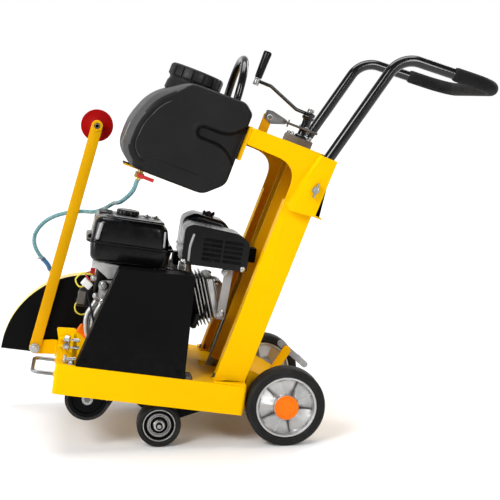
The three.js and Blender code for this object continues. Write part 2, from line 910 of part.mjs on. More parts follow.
function pointerBracket() {
  const front = BASE.front - GAP;
  const lug = outline([
    [-606, 83, 6],
    [-598, 50, 6],
    [front, 56],
    [front, 92],
    [-550, 92],
  ]);
  const { x, z, near, far } = POINTER;
  const flange = block([front - 4, front], [150, far + 5], [58, 92]);
  const pin = crossRod(5, { x, z }, near - 5, far + 2, 14);
  const head = crossRod(10, { x, z }, near - 6, near - GAP, 6);
  return join(slab(lug, [far + GAP, far + 5]), flange, pin, head);
}

function pointerArm() {
  const { x, z, tipX, tipZ, near, far } = POINTER;
  const pivotHole = crossRod(5 + FIT, { x, z }, near - 5, far + 5, 14);
  const bar = cut(slab(strap([x, z], 14, [tipX, tipZ], 14), [near, far]), pivotHole);
  const axle = crossRod(5, { x: tipX, z: tipZ }, near - 4, 226, 12);
  return join(bar, axle);
}

function pointerDisc() {
  const bore = 5 + FIT;
  return turnedRing([
    [bore, POINTER.far + GAP],
    [12, POINTER.far + GAP],
    [12, 212],
    [40, 217],
    [40, 221],
    [bore, 223],
  ], 24);
}

add(chassis, 'pointer_bracket', pointerBracket(), yellow);
add(chassis, 'pointer_arm', pointerArm(), amber);
add(chassis, 'pointer_disc', pointerDisc(), red, [POINTER.tipX, 0, POINTER.tipZ]);

// ---------------------------------------------------------------- engine

// Geometry drawn along the cylinder axis, +X outwards from the crankshaft, moved onto the engine.
const onCylinder = (geometry) => alongCrank(geometry.rotateY(-CYLINDER_TILT));

// Crankcase, inclined cylinder with its fins, cylinder head and blower shroud.
function engineBlock() {
  const { x, z } = ENGINE;
  const crankcase = outline([
    [-452, DECK, 4],
    [-275, DECK, 4],
    [-275, 220, 12],
    [-300, 268, 12],
    [-430, 262, 14],
    [-452, 230, 14],
  ]);
  const feet = block([-466, -262], [-92, 90], [DECK, DECK + 9]);
  const shroud = block([-474, -330], [-66, 70], [255, 345.5]);
  const barrel = onCylinder(block([30, HEAD_END - 6], [-48, 48], [-46, 46]));
  const fins = [];
  for (let distance = 86; distance < HEAD_END - 18; distance += 10) {
    fins.push(onCylinder(block([distance, distance + 4], [-64, 64], [-58, 58])));
  }
  const head = onCylinder(block([HEAD_END - 16, HEAD_END], [-60, 60], [-52, 52]));
  const neck = rod(11, OIL_NECK.from, OIL_NECK.to, 14);
  const whole = join(slab(crankcase, [-96, 92]), feet, shroud, barrel, ...fins, head, neck);
  return cut(whole, crossRod(CRANK_RADIUS + FIT, { x, z }, -110, 110));
}

// Crankshaft with the flywheel on its far end.
function crankshaft() {
  return turned([
    [0, -180],
    [CRANK_RADIUS, -180],
    [CRANK_RADIUS, 98],
    [66, 98],
    [66, 116],
    [18, 120],
    [18, 128],
    [0, 128],
  ]);
}

function recoilHousing() {
  return turned([
    [0, 146],
    [56, 142],
    [78, 122],
    [78, 96.3],
    [83, 96.3],
    [83, 125],
    [60, 147],
    [0, 151],
  ], 24);
}

function starterGrip() {
  const grip = block([84.5, 98], [111, 127], [-24, 24]);
  return alongCrank(grip.rotateY(-STARTER_DIRECTION));
}

function valveCover() {
  const cover = outline([
    [HEAD_END + GAP, -40],
    [HEAD_END + 16, -40, 8],
    [HEAD_END + 24, -24, 8],
    [HEAD_END + 24, 24, 8],
    [HEAD_END + 16, 40, 8],
    [HEAD_END + GAP, 40],
  ]);
  return onCylinder(slab(cover, [-50, 50], { bevel: 6, rounds: 3 }));
}

// Two pressed halves with a seam flange between them.
function fuelTank() {
  const upper = outline([
    [-497, 388],
    [-320, 388],
    [-320, 448, 20],
    [-489, 448, 20],
  ]);
  const lower = outline([
    [-500, 392],
    [-488, 346, 14],
    [-328, 346, 14],
    [-316, 392],
  ]);
  const seam = outline([
    [-508, -102, 8],
    [-309, -102, 8],
    [-309, 92, 8],
    [-508, 92, 8],
  ]);
  return join(
    slab(upper, [-98, 88], { bevel: 7, rounds: 3 }),
    slab(lower, [-96, 86], { bevel: 7, rounds: 3 }),
    plan(seam, [388, 393]),
  );
}

function cap(radius, height) {
  return turnedUp([
    [0, 0],
    [radius, 0],
    [radius, height * 0.75],
    [radius - 3, height],
    [0, height],
  ]);
}

// The louvred heat shield around the silencer, with its stay down to the cylinder head.
function mufflerGuard() {
  const face = outline([
    [-292, 371, 6],
    [-141, 371, 6],
    [-141, 437, 12],
    [-170, 455, 9],
    [-278, 463, 9],
    [-294, 452, 9],
  ]);
  const hollow = outline([
    [-289, 374],
    [-144, 374],
    [-144, 435],
    [-171, 451.5],
    [-277, 459.5],
    [-290.5, 450],
  ]);
  const slots = [];
  for (let row = 0; row < 5; row += 1) {
    const z = 386 + row * 11;
    slots.push(block([-246, -206], [-125, -112], [z, z + 4]));
    slots.push(block([-198, -158], [-125, -112], [z, z + 4]));
  }
  const outletHole = rod(12, [-150, -74, 408], [-135, -74, 408], 12);
  const stay = outline([
    [-184, 373],
    [-166, 373],
    [-170, 250],
    [-188, 250],
  ]);
  const shell = cut(slab(face, [-119, -28]), slab(hollow, [-116, -20]), ...slots, outletHole);
  return join(shell, slab(stay, [-84, -80]));
}

function muffler() {
  const drum = rod(30, [-284, -70, 412], [-180, -70, 412], 16);
  const outlet = rod(11, [-190, -74, 408], [-128, -74, 408], 12);
  const deflector = block([-138, -120], [-92, -58], [391, 424]);
  return join(drum, outlet, deflector);
}

function airCleaner() {
  const face = outline([
    [-288, 372],
    [-166, 372],
    [-166, 440, 14],
    [-186, 466, 14],
    [-262, 477, 14],
    [-288, 462, 14],
  ]);
  return slab(face, [4, 100], { bevel: 8, rounds: 3 });
}

function carburettor() {
  const body = block([-322, -266], [72, 95], [304, 352]);
  const stack = rod(16, [-280, 83.5, 350], [-280, 83.5, 371.6], 16);
  return join(body, stack);
}

const smallLever = (length, y0, y1) => slab(strap([0, 0], 6, [0, length], 4), [y0, y1]);

function oilCap() {
  const [x, y, z] = OIL_NECK.to;
  const along = new THREE.Vector3(...OIL_NECK.to).sub(new THREE.Vector3(...OIL_NECK.from)).normalize();
  const start = [x + along.x * GAP, y, z + along.z * GAP];
  const end = [x + along.x * 26, y, z + along.z * 26];
  return rod(14, start, end, 8);
}

add(chassis, 'engine_block', engineBlock(), castAlloy);
add(chassis, 'crankshaft', alongCrank(crankshaft()), steel);
add(chassis, 'drive_pulley', alongCrank(grooved(CRANK_RADIUS + FIT, PULLEY.drive)), satinBlack);
add(chassis, 'recoil_housing', alongCrank(recoilHousing()), blackPaint);
add(chassis, 'starter_grip', starterGrip(), satinBlack);
add(chassis, 'valve_cover', valveCover(), castAlloy);
add(chassis, 'fuel_tank', fuelTank(), blackPaint);
add(chassis, 'fuel_cap', cap(27, 11), satinBlack, [FUEL_CAP.x, FUEL_CAP.y, FUEL_CAP.z + GAP]);
add(chassis, 'muffler', muffler(), steel);
add(chassis, 'muffler_guard', mufflerGuard(), blackPaint);
add(chassis, 'air_cleaner', airCleaner(), blackPaint);
add(chassis, 'carburettor', carburettor(), castAlloy);
add(chassis, 'throttle_lever', smallLever(34, 95.3, 98.3), zinc, [THROTTLE_PIVOT.x, 0, THROTTLE_PIVOT.z]);
add(chassis, 'choke_lever', smallLever(26, 95.3, 98.3), satinBlack, [CHOKE_PIVOT.x, 0, CHOKE_PIVOT.z]);
add(chassis, 'oil_cap', oilCap(), orange);
add(chassis, 'engine_switch', rod(10, [-474.3, 40, 300], [-486, 40, 300], 12), red);

// ---------------------------------------------------------------- water hose

// The hose runs from the tank outlet over the fuel tank, past the pointer arm, to the guard nipple.
function waterHose() {
  const outletEnd = new THREE.Vector3(OUTLET.x, OUTLET.y, OUTLET.bottom - GAP).applyMatrix4(column.matrix);
  const afterOutlet = new THREE.Vector3(OUTLET.x, OUTLET.y, OUTLET.bottom - 24).applyMatrix4(column.matrix);
  const free = [
    [-440, -38, 484],
    [-456, 40, 468],
    [-474, 102, 446],
    [-497, 152, 430],
    [-519, 188, 424],
    [-545, 207, 417],
    [-587, 221, 399],
    [-614, 222, 377],
    [-630, 222, 346],
    [-628, 222, 320],
    [-614, 222, 298],
  ];
  const points = [
    outletEnd,
    afterOutlet,
    ...free.map((point) => new THREE.Vector3(...point)),
    new THREE.Vector3(...nipplePoint(NIPPLE.length + 16)),
    new THREE.Vector3(...nipplePoint(NIPPLE.length + GAP)),
  ];
  return tube(new THREE.CatmullRomCurve3(points, false, 'centripetal'), 5, 34, 8);
}

add(chassis, 'water_hose', waterHose(), hosePlastic);

// ---------------------------------------------------------------- origin at the bottom centre

saw.updateMatrixWorld(true);
const bounds = new THREE.Box3().setFromObject(saw, true);
const middle = bounds.getCenter(new THREE.Vector3());
saw.position.set(-middle.x, -middle.y, -bounds.min.z);

export default saw;
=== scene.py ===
"""Walk-behind concrete saw: materials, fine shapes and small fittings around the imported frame."""
import json
import math

import bmesh
import bpy
from mathutils import Matrix, Vector

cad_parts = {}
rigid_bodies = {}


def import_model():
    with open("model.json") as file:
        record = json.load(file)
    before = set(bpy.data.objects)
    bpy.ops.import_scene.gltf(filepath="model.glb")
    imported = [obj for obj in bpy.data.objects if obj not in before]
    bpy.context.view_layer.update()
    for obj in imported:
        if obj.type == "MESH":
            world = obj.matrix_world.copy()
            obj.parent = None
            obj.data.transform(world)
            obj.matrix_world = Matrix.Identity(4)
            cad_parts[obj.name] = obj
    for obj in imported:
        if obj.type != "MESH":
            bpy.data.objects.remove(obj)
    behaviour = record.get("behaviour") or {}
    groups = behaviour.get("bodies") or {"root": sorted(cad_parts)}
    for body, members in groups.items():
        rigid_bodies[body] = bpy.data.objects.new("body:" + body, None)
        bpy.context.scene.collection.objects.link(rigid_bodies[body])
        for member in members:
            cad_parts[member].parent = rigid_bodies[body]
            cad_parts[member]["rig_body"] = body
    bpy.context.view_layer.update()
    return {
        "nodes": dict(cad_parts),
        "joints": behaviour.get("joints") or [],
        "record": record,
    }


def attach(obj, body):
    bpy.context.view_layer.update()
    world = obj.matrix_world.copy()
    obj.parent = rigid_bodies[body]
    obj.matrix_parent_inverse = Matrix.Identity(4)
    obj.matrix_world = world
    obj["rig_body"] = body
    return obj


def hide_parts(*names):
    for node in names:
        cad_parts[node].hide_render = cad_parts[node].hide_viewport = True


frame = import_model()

# ------------------------------------------------------------------ local frames, drawn in millimetres

MM = 0.001
NODES = frame["nodes"]
JOINTS = {joint["name"]: joint for joint in frame["joints"]}
SLOTS = {part["node"]: part["material_slot"] for part in frame["record"]["subparts"]}

NOSE_UP = math.radians(9)
COLUMN_LEAN = math.radians(12.5)
CYLINDER_TILT = math.radians(20)
REAR_AXLE = Vector((-14, 0, 89))
COLUMN_FOOT = Vector((-147, 0, 124))
ENGINE = Vector((-352, 0, 235))
SPINDLE = Vector((-458, 0, 50))
FRONT_AXLE = Vector((-290, 0, 5))
SCREW_X = -22
DECK = 123

SIDES = (("near", -1), ("far", 1))

near_hub = Vector(JOINTS["rear_wheel_near_spin"]["pos_m"])
far_hub = Vector(JOINTS["rear_wheel_far_spin"]["pos_m"])


def turn(angle, axis):
    return Matrix.Rotation(angle, 4, axis)


def shift(x, y, z):
    return Matrix.Translation((x, y, z))


CHASSIS = (
    Matrix.Translation((near_hub + far_hub) / 2)
    @ turn(NOSE_UP, "Y")
    @ Matrix.Scale(MM, 4)
    @ Matrix.Translation(-REAR_AXLE)
)
COLUMN = CHASSIS @ Matrix.Translation(COLUMN_FOOT) @ turn(COLUMN_LEAN, "Y")
CYLINDER = CHASSIS @ Matrix.Translation(ENGINE) @ turn(-CYLINDER_TILT, "Y")

TO_Y = turn(-math.pi / 2, "X")  # a solid drawn up Z then points along +Y
TO_X = turn(math.pi / 2, "Y")  # a solid drawn up Z then points along +X
TO_NEAR = turn(math.pi / 2, "X")  # and along -Y
TO_FRONT = turn(-math.pi / 2, "Y")  # and along -X

# ------------------------------------------------------------------ outlines and paths


def arc_corner(before, corner, after, radius, steps):
    """The points of a round corner between two straight runs."""
    back = (before - corner).normalized()
    ahead = (after - corner).normalized()
    half = back.angle(ahead) / 2
    if radius <= 0 or half > math.pi / 2 - 1e-3:
        return [corner]
    centre = corner + (back + ahead).normalized() * radius / math.sin(half)
    start = corner + back * radius / math.tan(half) - centre
    end = corner + ahead * radius / math.tan(half) - centre
    sweep = start.angle(end)
    axis = start.cross(end).normalized()
    return [
        centre + Matrix.Rotation(sweep * step / steps, 3, axis) @ start
        for step in range(steps + 1)
    ]


def outline(corners, steps=6):
    """A closed outline in X and Z. Each corner is (x, z) or (x, z, radius)."""
    points = [Vector((corner[0], 0, corner[1])) for corner in corners]
    result = []
    for index, corner in enumerate(corners):
        radius = corner[2] if len(corner) > 2 else 0
        before = points[index - 1]
        after = points[(index + 1) % len(points)]
        result += arc_corner(before, points[index], after, radius, steps)
    return [(point.x, point.z) for point in result]


def bar_outline(a, radius_a, b, radius_b, steps=14):
    """The outline of a bar with round ends."""
    heading = math.atan2(b[1] - a[1], b[0] - a[0])
    spread = math.acos((radius_a - radius_b) / math.dist(a, b))
    points = []
    for centre, radius, first, last in (
        (a, radius_a, spread, 2 * math.pi - spread),
        (b, radius_b, -spread, spread),
    ):
        for step in range(steps + 1):
            angle = heading + first + (last - first) * step / steps
            points.append((centre[0] + radius * math.cos(angle), centre[1] + radius * math.sin(angle)))
    return points


def bent(corners, bends, steps=10):
    """Straight stretches between corners, with an arc of its own radius at each inner corner."""
    points = [Vector(corner) for corner in corners]
    result = [points[0]]
    for index, radius in enumerate(bends, start=1):
        result += arc_corner(points[index - 1], points[index], points[index + 1], radius, steps)
    return result + [points[-1]]


def through(knots, steps=8):
    """A smooth curve through every knot: a centripetal Catmull-Rom spline."""
    points = [Vector(knot) for knot in knots]
    points = [points[0] * 2 - points[1]] + points + [points[-1] * 2 - points[-2]]
    result = []
    for index in range(1, len(points) - 2):
        p = points[index - 1:index + 3]
        t = [0.0]
        for a, b in zip(p, p[1:]):
            t.append(t[-1] + (b - a).length ** 0.5)

        def between(a, b, first, last, time):
            return a.lerp(b, (time - t[first]) / (t[last] - t[first]))

        for step in range(steps):
            time = t[1] + (t[2] - t[1]) * step / steps
            low = [between(p[k], p[k + 1], k, k + 1, time) for k in range(3)]
            middle = [between(low[k], low[k + 1], k, k + 2, time) for k in range(2)]
            result.append(between(middle[0], middle[1], 1, 2, time))
    return result + [points[-2]]


# ------------------------------------------------------------------ simple solids: (points, faces)


def grid_faces(rows, columns, wrap_rows=False, wrap_columns=True):
    """Quads over a grid of points, numbered row by row."""
    faces = []
    for row in range(rows if wrap_rows else rows - 1):
        for column in range(columns if wrap_columns else columns - 1):
            following = (column + 1) % columns
            above = (row + 1) % rows
            faces.append((
                row * columns + column,
                row * columns + following,
                above * columns + following,
                above * columns + column,
            ))
    return faces


def revolve(profile, segments=64, ring=False, ripple=None):
    """A solid of revolution about Z from (radius, z) points, rising along its outside.

    ripple(angle, index) gives a change of (radius, z) at a point of the profile."""
    points = []
    for index, (radius, height) in enumerate(profile):
        for step in range(segments):
            angle = 2 * math.pi * step / segments
            more_radius, more_height = ripple(angle, index) if ripple else (0, 0)
            r = max(radius + more_radius, 0)
            points.append(Vector((r * math.cos(angle), r * math.sin(angle), height + more_height)))
    return points, grid_faces(len(profile), segments, wrap_rows=ring)


def tube(path, radius, sides=20, ends="flat"):
    """A round bar along a path. radius is a number or one number for each point."""
    points = [Vector(point) for point in path]
    radii = list(radius) if hasattr(radius, "__len__") else [radius] * len(points)
    if ends == "round":
        first = (points[0] - points[1]).normalized()
        last = (points[-1] - points[-2]).normalized()
        for share in (0.45, 0.8, 1.0):
            shrink = math.sqrt(max(1 - share * share, 0.01))
            points = [points[0] + first * radii[0] * 0.35] + points + [points[-1] + last * radii[-1] * 0.35]
            radii = [radii[0] * shrink] + radii + [radii[-1] * shrink]
    tangents = []
    for index in range(len(points)):
        ahead = points[min(index + 1, len(points) - 1)]
        behind = points[max(index - 1, 0)]
        tangents.append((ahead - behind).normalized())
    normal = tangents[0].orthogonal().normalized()
    rings = []
    for index, point in enumerate(points):
        if index:
            normal = tangents[index - 1].rotation_difference(tangents[index]) @ normal
        across = tangents[index].cross(normal).normalized()
        for step in range(sides):
            angle = 2 * math.pi * step / sides
            rings.append(point + radii[index] * (math.cos(angle) * normal + math.sin(angle) * across))
    faces = grid_faces(len(points), sides)
    last_ring = (len(points) - 1) * sides
    faces.append(tuple(reversed(range(sides))))
    faces.append(tuple(last_ring + step for step in range(sides)))
    return rings, faces


def rod(radius, start, end, sides=24):
    return tube([start, end], radius, sides)


def slab(shape, y0, y1):
    """An outline in X and Z given thickness along Y."""
    count = len(shape)
    points = [Vector((x, y0, z)) for x, z in shape] + [Vector((x, y1, z)) for x, z in shape]
    faces = grid_faces(2, count)
    faces.append(tuple(reversed(range(count))))
    faces.append(tuple(range(count, 2 * count)))
    return points, faces


def block(x, y, z):
    return slab([(x[0], z[0]), (x[1], z[0]), (x[1], z[1]), (x[0], z[1])], y[0], y[1])


def hexagon(across, height, chamfer=0.6):
    """A hexagon nut or bolt head, flat face down, standing on Z = 0."""
    radius = across / math.sqrt(3)
    profile = [(0, 0), (radius, 0), (radius, height - chamfer), (radius - chamfer * 1.6, height), (0, height)]
    return revolve(profile, 6)


def loft(rings):
    """A solid through closed rings that all have the same number of points."""
    count = len(rings[0])
    points = [point for ring in rings for point in ring]
    faces = grid_faces(len(rings), count)
    faces.append(tuple(reversed(range(count))))
    faces.append(tuple(range(len(points) - count, len(points))))
    return points, faces


def moved(solid, matrix):
    points, faces = solid
    return [matrix @ point for point in points], faces


def pillow(shape, y0, y1, rounding, steps=6):
    """A slab whose two faces run into its rim through a round edge."""
    count = len(shape)
    normals = []
    for index in range(count):
        x0, z0 = shape[index - 1]
        x1, z1 = shape[(index + 1) % count]
        length = math.hypot(x1 - x0, z1 - z0) or 1
        normals.append(((z0 - z1) / length, (x1 - x0) / length))
    area = sum(shape[i - 1][0] * shape[i][1] - shape[i][0] * shape[i - 1][1] for i in range(count))
    inward = 1 if area > 0 else -1

    def ring(y, inset):
        return [
            Vector((x + inward * nx * inset, y, z + inward * nz * inset))
            for (x, z), (nx, nz) in zip(shape, normals)
        ]

    rings = []
    for step in range(steps + 1):
        angle = math.pi / 2 * step / steps
        rings.append(ring(y0 + rounding * (1 - math.sin(angle)), rounding * (1 - math.cos(angle))))
    rings.reverse()
    for step in range(steps + 1):
        angle = math.pi / 2 * step / steps
        rings.append(ring(y1 - rounding * (1 - math.sin(angle)), rounding * (1 - math.cos(angle))))
    return loft(rings)


# ------------------------------------------------------------------ pieces


class Piece:
    """One visible object: solids drawn in a local frame, in millimetres, that ride on a CAD body."""

    def __init__(self, name, body, place=CHASSIS):
        self.name = name
        self.body = body
        self.place = place
        self.mesh = bmesh.new()
        self.surfaces = []

    def add(self, solid, surface, at=None):
        if surface not in self.surfaces:
            self.surfaces.append(surface)
        index = self.surfaces.index(surface)
        matrix = self.place @ at if at else self.place
        points, faces = solid
        corners = [self.mesh.verts.new(matrix @ point) for point in points]
        for face in faces:
            ring = list(dict.fromkeys(face))
            if len(ring) > 2:
                self.mesh.faces.new([corners[k] for k in ring]).material_index = index
        return self

    def done(self, bevel=0.0, segments=2, crease=35, replaces=(), slot=None, carve=()):
        """Closes the mesh, rounds its edges and hangs it on its body."""
        bmesh.ops.remove_doubles(self.mesh, verts=self.mesh.verts, dist=1e-6)
        bmesh.ops.recalc_face_normals(self.mesh, faces=self.mesh.faces)
        mesh = bpy.data.meshes.new(self.name)
        self.mesh.to_mesh(mesh)
        self.mesh.free()
        for surface in self.surfaces:
            mesh.materials.append(surface)
        return settle(mesh, self.name, self.body, bevel, segments, crease, replaces, slot, carve)


def carve_mesh(obj, tool):
    """Cuts another mesh out of obj for good."""
    cutter = bpy.data.objects.new("cutter", tool)
    bpy.context.scene.collection.objects.link(cutter)
    modifier = obj.modifiers.new("carve", "BOOLEAN")
    modifier.operation = "DIFFERENCE"
    modifier.object = cutter
    modifier.solver = "EXACT"
    depsgraph = bpy.context.evaluated_depsgraph_get()
    result = bpy.data.meshes.new_from_object(obj.evaluated_get(depsgraph), depsgraph=depsgraph)
    obj.modifiers.clear()
    obj.data = result
    bpy.data.objects.remove(cutter)


def solid_mesh(solid, place, surface):
    """A bare mesh from one solid, used as a cutter."""
    mesh = bpy.data.meshes.new("cutter")
    points, faces = solid
    mesh.from_pydata([place @ point for point in points], [], faces)
    mesh.materials.append(surface)
    return mesh


def settle(mesh, name, body, bevel, segments, crease, replaces, slot, carve=(), harden=True):
    """Makes the object, cuts and bevels it, hangs it on its body and hides the CAD parts it replaces."""
    obj = bpy.data.objects.new(name, mesh)
    bpy.context.scene.collection.objects.link(obj)
    for tool in carve:
        carve_mesh(obj, tool)
    mesh = obj.data
    mesh.shade_smooth()
    mesh.set_sharp_from_angle(angle=math.radians(crease))
    if bevel:
        modifier = obj.modifiers.new("edges", "BEVEL")
        modifier.width = bevel * MM
        modifier.segments = segments
        modifier.limit_method = "ANGLE"
        modifier.angle_limit = math.radians(crease)
        modifier.harden_normals = harden
    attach(obj, body)
    if replaces:
        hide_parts(*replaces)
        slot = slot or SLOTS[replaces[0]]
    return obj


def refine(node, surface, bevel=0.8, segments=2, crease=35, carve=(), harden=True):
    """A CAD node's own shape with rounded edges."""
    source = NODES[node]
    work = bmesh.new()
    work.from_mesh(source.data)
    bmesh.ops.remove_doubles(work, verts=work.verts, dist=1e-6)
    bmesh.ops.dissolve_limit(work, angle_limit=math.radians(1), verts=work.verts, edges=work.edges)
    mesh = bpy.data.meshes.new(node + "_shape")
    work.to_mesh(mesh)
    work.free()
    mesh.materials.clear()
    mesh.materials.append(surface)
    body = source["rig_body"]
    return settle(mesh, node + "_shape", body, bevel, segments, crease, (node,), None, carve, harden)


# ------------------------------------------------------------------ materials


class Surface:
    """A procedural material built on one Principled shader. Lengths are in metres."""

    def __init__(self, name, color, roughness, metallic=0.0, **settings):
        self.material = bpy.data.materials.new(name)
        self.material.use_nodes = True
        self.tree = self.material.node_tree
        self.shader = self.tree.nodes["Principled BSDF"]
        self.color = (*color, 1)
        self.set("Base Color", self.color)
        self.set("Roughness", roughness)
        self.set("Metallic", metallic)
        for socket, value in settings.items():
            self.set(socket.replace("_", " "), value)
        self.coordinates = self.node("ShaderNodeTexCoord").outputs["Object"]
        self.colour_source = None
        self.height = None

    def set(self, socket, value):
        self.shader.inputs[socket].default_value = value

    def node(self, kind, **settings):
        node = self.tree.nodes.new(kind)
        for key, value in settings.items():
            setattr(node, key, value)
        return node

    def link(self, source, target):
        self.tree.links.new(source, target)

    def noise(self, scale, detail=3, stretch=(1, 1, 1)):
        mapping = self.node("ShaderNodeMapping")
        mapping.inputs["Scale"].default_value = stretch
        self.link(self.coordinates, mapping.inputs["Vector"])
        noise = self.node("ShaderNodeTexNoise")
        noise.inputs["Scale"].default_value = scale
        noise.inputs["Detail"].default_value = detail
        self.link(mapping.outputs["Vector"], noise.inputs["Vector"])
        return noise.outputs["Fac"]

    def cells(self, scale):
        cells = self.node("ShaderNodeTexVoronoi")
        cells.inputs["Scale"].default_value = scale
        self.link(self.coordinates, cells.inputs["Vector"])
        return cells.outputs["Distance"]

    def band(self, source, low, high, first=0.0, last=1.0):
        """source remapped from low..high to first..last, clamped."""
        remap = self.node("ShaderNodeMapRange")
        for socket, value in zip(("From Min", "From Max", "To Min", "To Max"), (low, high, first, last)):
            remap.inputs[socket].default_value = value
        self.link(source, remap.inputs["Value"])
        return remap.outputs["Result"]

    def tint(self, factor, color, blend="MIX"):
        """Mixes another colour over what is there."""
        mix = self.node("ShaderNodeMix", data_type="RGBA", blend_type=blend)
        self.link(factor, mix.inputs["Factor"])
        if self.colour_source:
            self.link(self.colour_source, mix.inputs["A"])
        else:
            mix.inputs["A"].default_value = self.color
        mix.inputs["B"].default_value = (*color, 1)
        self.colour_source = mix.outputs["Result"]
        self.link(self.colour_source, self.shader.inputs["Base Color"])
        return self

    def rough(self, source, low, high):
        self.link(self.band(source, 0.3, 0.7, low, high), self.shader.inputs["Roughness"])
        return self

    def bump(self, source, strength, distance):
        bump = self.node("ShaderNodeBump")
        bump.inputs["Strength"].default_value = strength
        bump.inputs["Distance"].default_value = distance
        self.link(source, bump.inputs["Height"])
        if self.height:
            self.link(self.height, bump.inputs["Normal"])
        self.height = bump.outputs["Normal"]
        self.link(self.height, self.shader.inputs["Normal"])
        return self

    def worn(self, color, start=0.56, end=0.64):
        """Another colour on the sharpest outer edges, broken up by noise."""
        edges = self.band(self.node("ShaderNodeNewGeometry").outputs["Pointiness"], start, end)
        patches = self.band(self.noise(90, 4), 0.5, 0.62)
        both = self.node("ShaderNodeMath", operation="MULTIPLY")
        self.link(edges, both.inputs[0])
        self.link(patches, both.inputs[1])
        return self.tint(both.outputs["Value"], color)


def paint(
    name, color, roughness, shade, coat=0.25, primer=(0.3, 0.28, 0.25), specular=0.5, edge=0.56, peel=0.03
):
    """Sprayed paint: faint orange peel, slow tone changes, worn edges."""
    surface = Surface(
        name, color, roughness, Coat_Weight=coat, Coat_Roughness=0.12, Specular_IOR_Level=specular
    )
    surface.tint(surface.band(surface.noise(9, 4), 0.35, 0.75, 0.0, 0.55), shade)
    surface.rough(surface.noise(38, 4), roughness - 0.07, roughness + 0.09)
    surface.bump(surface.noise(260, 2), peel, 0.0004)
    surface.worn(primer, edge, edge + 0.08)
    return surface.material


def metal(name, color, roughness, shade, grain=(1, 1, 1), scale=300, depth=0.15):
    """Machined or plated metal, with grain drawn out along one axis."""
    surface = Surface(name, color, roughness, 1.0)
    surface.tint(surface.band(surface.noise(24, 5), 0.38, 0.7), shade)
    surface.rough(surface.noise(scale, 3, grain), roughness - 0.08, roughness + 0.14)
    surface.bump(surface.noise(scale, 3, grain), depth, 0.0003)
    return surface.material


def casting(name, color, roughness, shade, scale=650, metallic=0.85):
    """Sand-cast alloy: coarse grain and dark stains in patches."""
    surface = Surface(name, color, roughness, metallic)
    surface.tint(surface.band(surface.noise(28, 6), 0.42, 0.72), shade)
    surface.rough(surface.noise(60, 4), roughness - 0.1, roughness + 0.12)
    surface.bump(surface.noise(scale, 4), 0.35, 0.0007)
    surface.bump(surface.cells(scale * 0.8), 0.12, 0.0005)
    return surface.material


def plastic(name, color, roughness, shade, scale=900, depth=0.2, coat=0.0, specular=0.5):
    """Moulded plastic with a fine leathery grain."""
    surface = Surface(name, color, roughness, Coat_Weight=coat, Specular_IOR_Level=specular)
    surface.tint(surface.band(surface.noise(14, 4), 0.4, 0.75, 0.0, 0.7), shade)
    surface.rough(surface.noise(55, 4), roughness - 0.06, roughness + 0.1)
    surface.bump(surface.cells(scale), depth, 0.0005)
    surface.bump(surface.noise(scale * 0.6, 3), depth * 0.7, 0.0004)
    return surface.material


def rubbery(name, color, roughness, dust, scale=500, depth=0.4):
    """Rubber or foam with pores and a little dust."""
    surface = Surface(name, color, roughness, Specular_IOR_Level=0.18)
    surface.tint(surface.band(surface.noise(30, 6), 0.5, 0.78, 0.0, 0.6), dust)
    surface.rough(surface.noise(70, 3), roughness - 0.1, roughness + 0.08)
    surface.bump(surface.noise(scale, 5), depth, 0.0006)
    return surface.material


YELLOW = paint(
    "yellow_paint", (0.85, 0.465, 0.0001), 0.38, (0.81, 0.43, 0.0001), 0.0, specular=0.02, edge=0.64
)
AMBER = paint("amber_paint", (0.74, 0.38, 0.0004), 0.4, (0.67, 0.32, 0.0004), 0.0, specular=0.08, edge=0.64)
BLACK_GLOSS = paint(
    "black_gloss", (0.003, 0.003, 0.0035), 0.15, (0.005, 0.005, 0.006), 0.1, (0.03, 0.03, 0.03), 0.4, 0.7,
    0.006
)
BLACK_SATIN = paint(
    "black_satin", (0.0026, 0.0026, 0.003), 0.45, (0.0045, 0.0045, 0.005), 0.0, (0.03, 0.03, 0.03), 0.05
)
RED_PAINT = paint("red_paint", (0.33, 0.001, 0.001), 0.42, (0.27, 0.001, 0.001), 0.0, specular=0.08)
BLUE_PLASTIC = plastic("blue_plastic", (0.02, 0.13, 0.30), 0.35, (0.015, 0.10, 0.24), 700, 0.08)
RED_PLASTIC = plastic("red_plastic", (0.5, 0.008, 0.008), 0.3, (0.4, 0.006, 0.006), coat=0.4)
ORANGE = plastic("orange_plastic", (0.93, 0.165, 0.001), 0.4, (0.85, 0.14, 0.001), 700, 0.12, specular=0.15)
TANK_PLASTIC = plastic(
    "tank_plastic", (0.006, 0.006, 0.0065), 0.44, (0.010, 0.010, 0.0105), 1100, 0.3, specular=0.16
)
# Coarser grain than tank_plastic and a lighter colour: the grain is the tank's own, the lighter colour is
# painted light for faces turned to the lamps.
TANK_GRAIN_PAINTED_LIGHT = plastic(
    "tank_grain_painted_light", (0.045, 0.045, 0.046), 0.55, (0.060, 0.060, 0.061), 420, 0.55, specular=0.3
)
BLACK_PLASTIC = plastic(
    "black_plastic", (0.005, 0.005, 0.006), 0.42, (0.009, 0.009, 0.010), 900, 0.22, specular=0.25
)
GLOSS_PLASTIC = plastic(
    "gloss_plastic", (0.002, 0.002, 0.0025), 0.2, (0.0035, 0.0035, 0.004), 300, 0.012, 0.0, 0.22
)
TYRE_RUBBER = rubbery("tyre_rubber", (0.008, 0.008, 0.008), 0.6, (0.024, 0.023, 0.022))
BELT = rubbery("belt_rubber", (0.014, 0.014, 0.014), 0.6, (0.035, 0.035, 0.035))
FOAM = rubbery("foam", (0.006, 0.006, 0.0065), 0.8, (0.015, 0.015, 0.015), 900, 0.6)
CAST = casting("cast_alloy", (0.56, 0.56, 0.55), 0.42, (0.36, 0.36, 0.36))
BRIGHT_CAST = casting("bright_cast", (0.50, 0.50, 0.495), 0.42, (0.40, 0.40, 0.40), 500, 0.7)
ZINC = metal("zinc", (0.50, 0.50, 0.485), 0.26, (0.34, 0.345, 0.34))
STEEL = metal("steel", (0.34, 0.34, 0.345), 0.3, (0.22, 0.22, 0.225), (1, 14, 1))
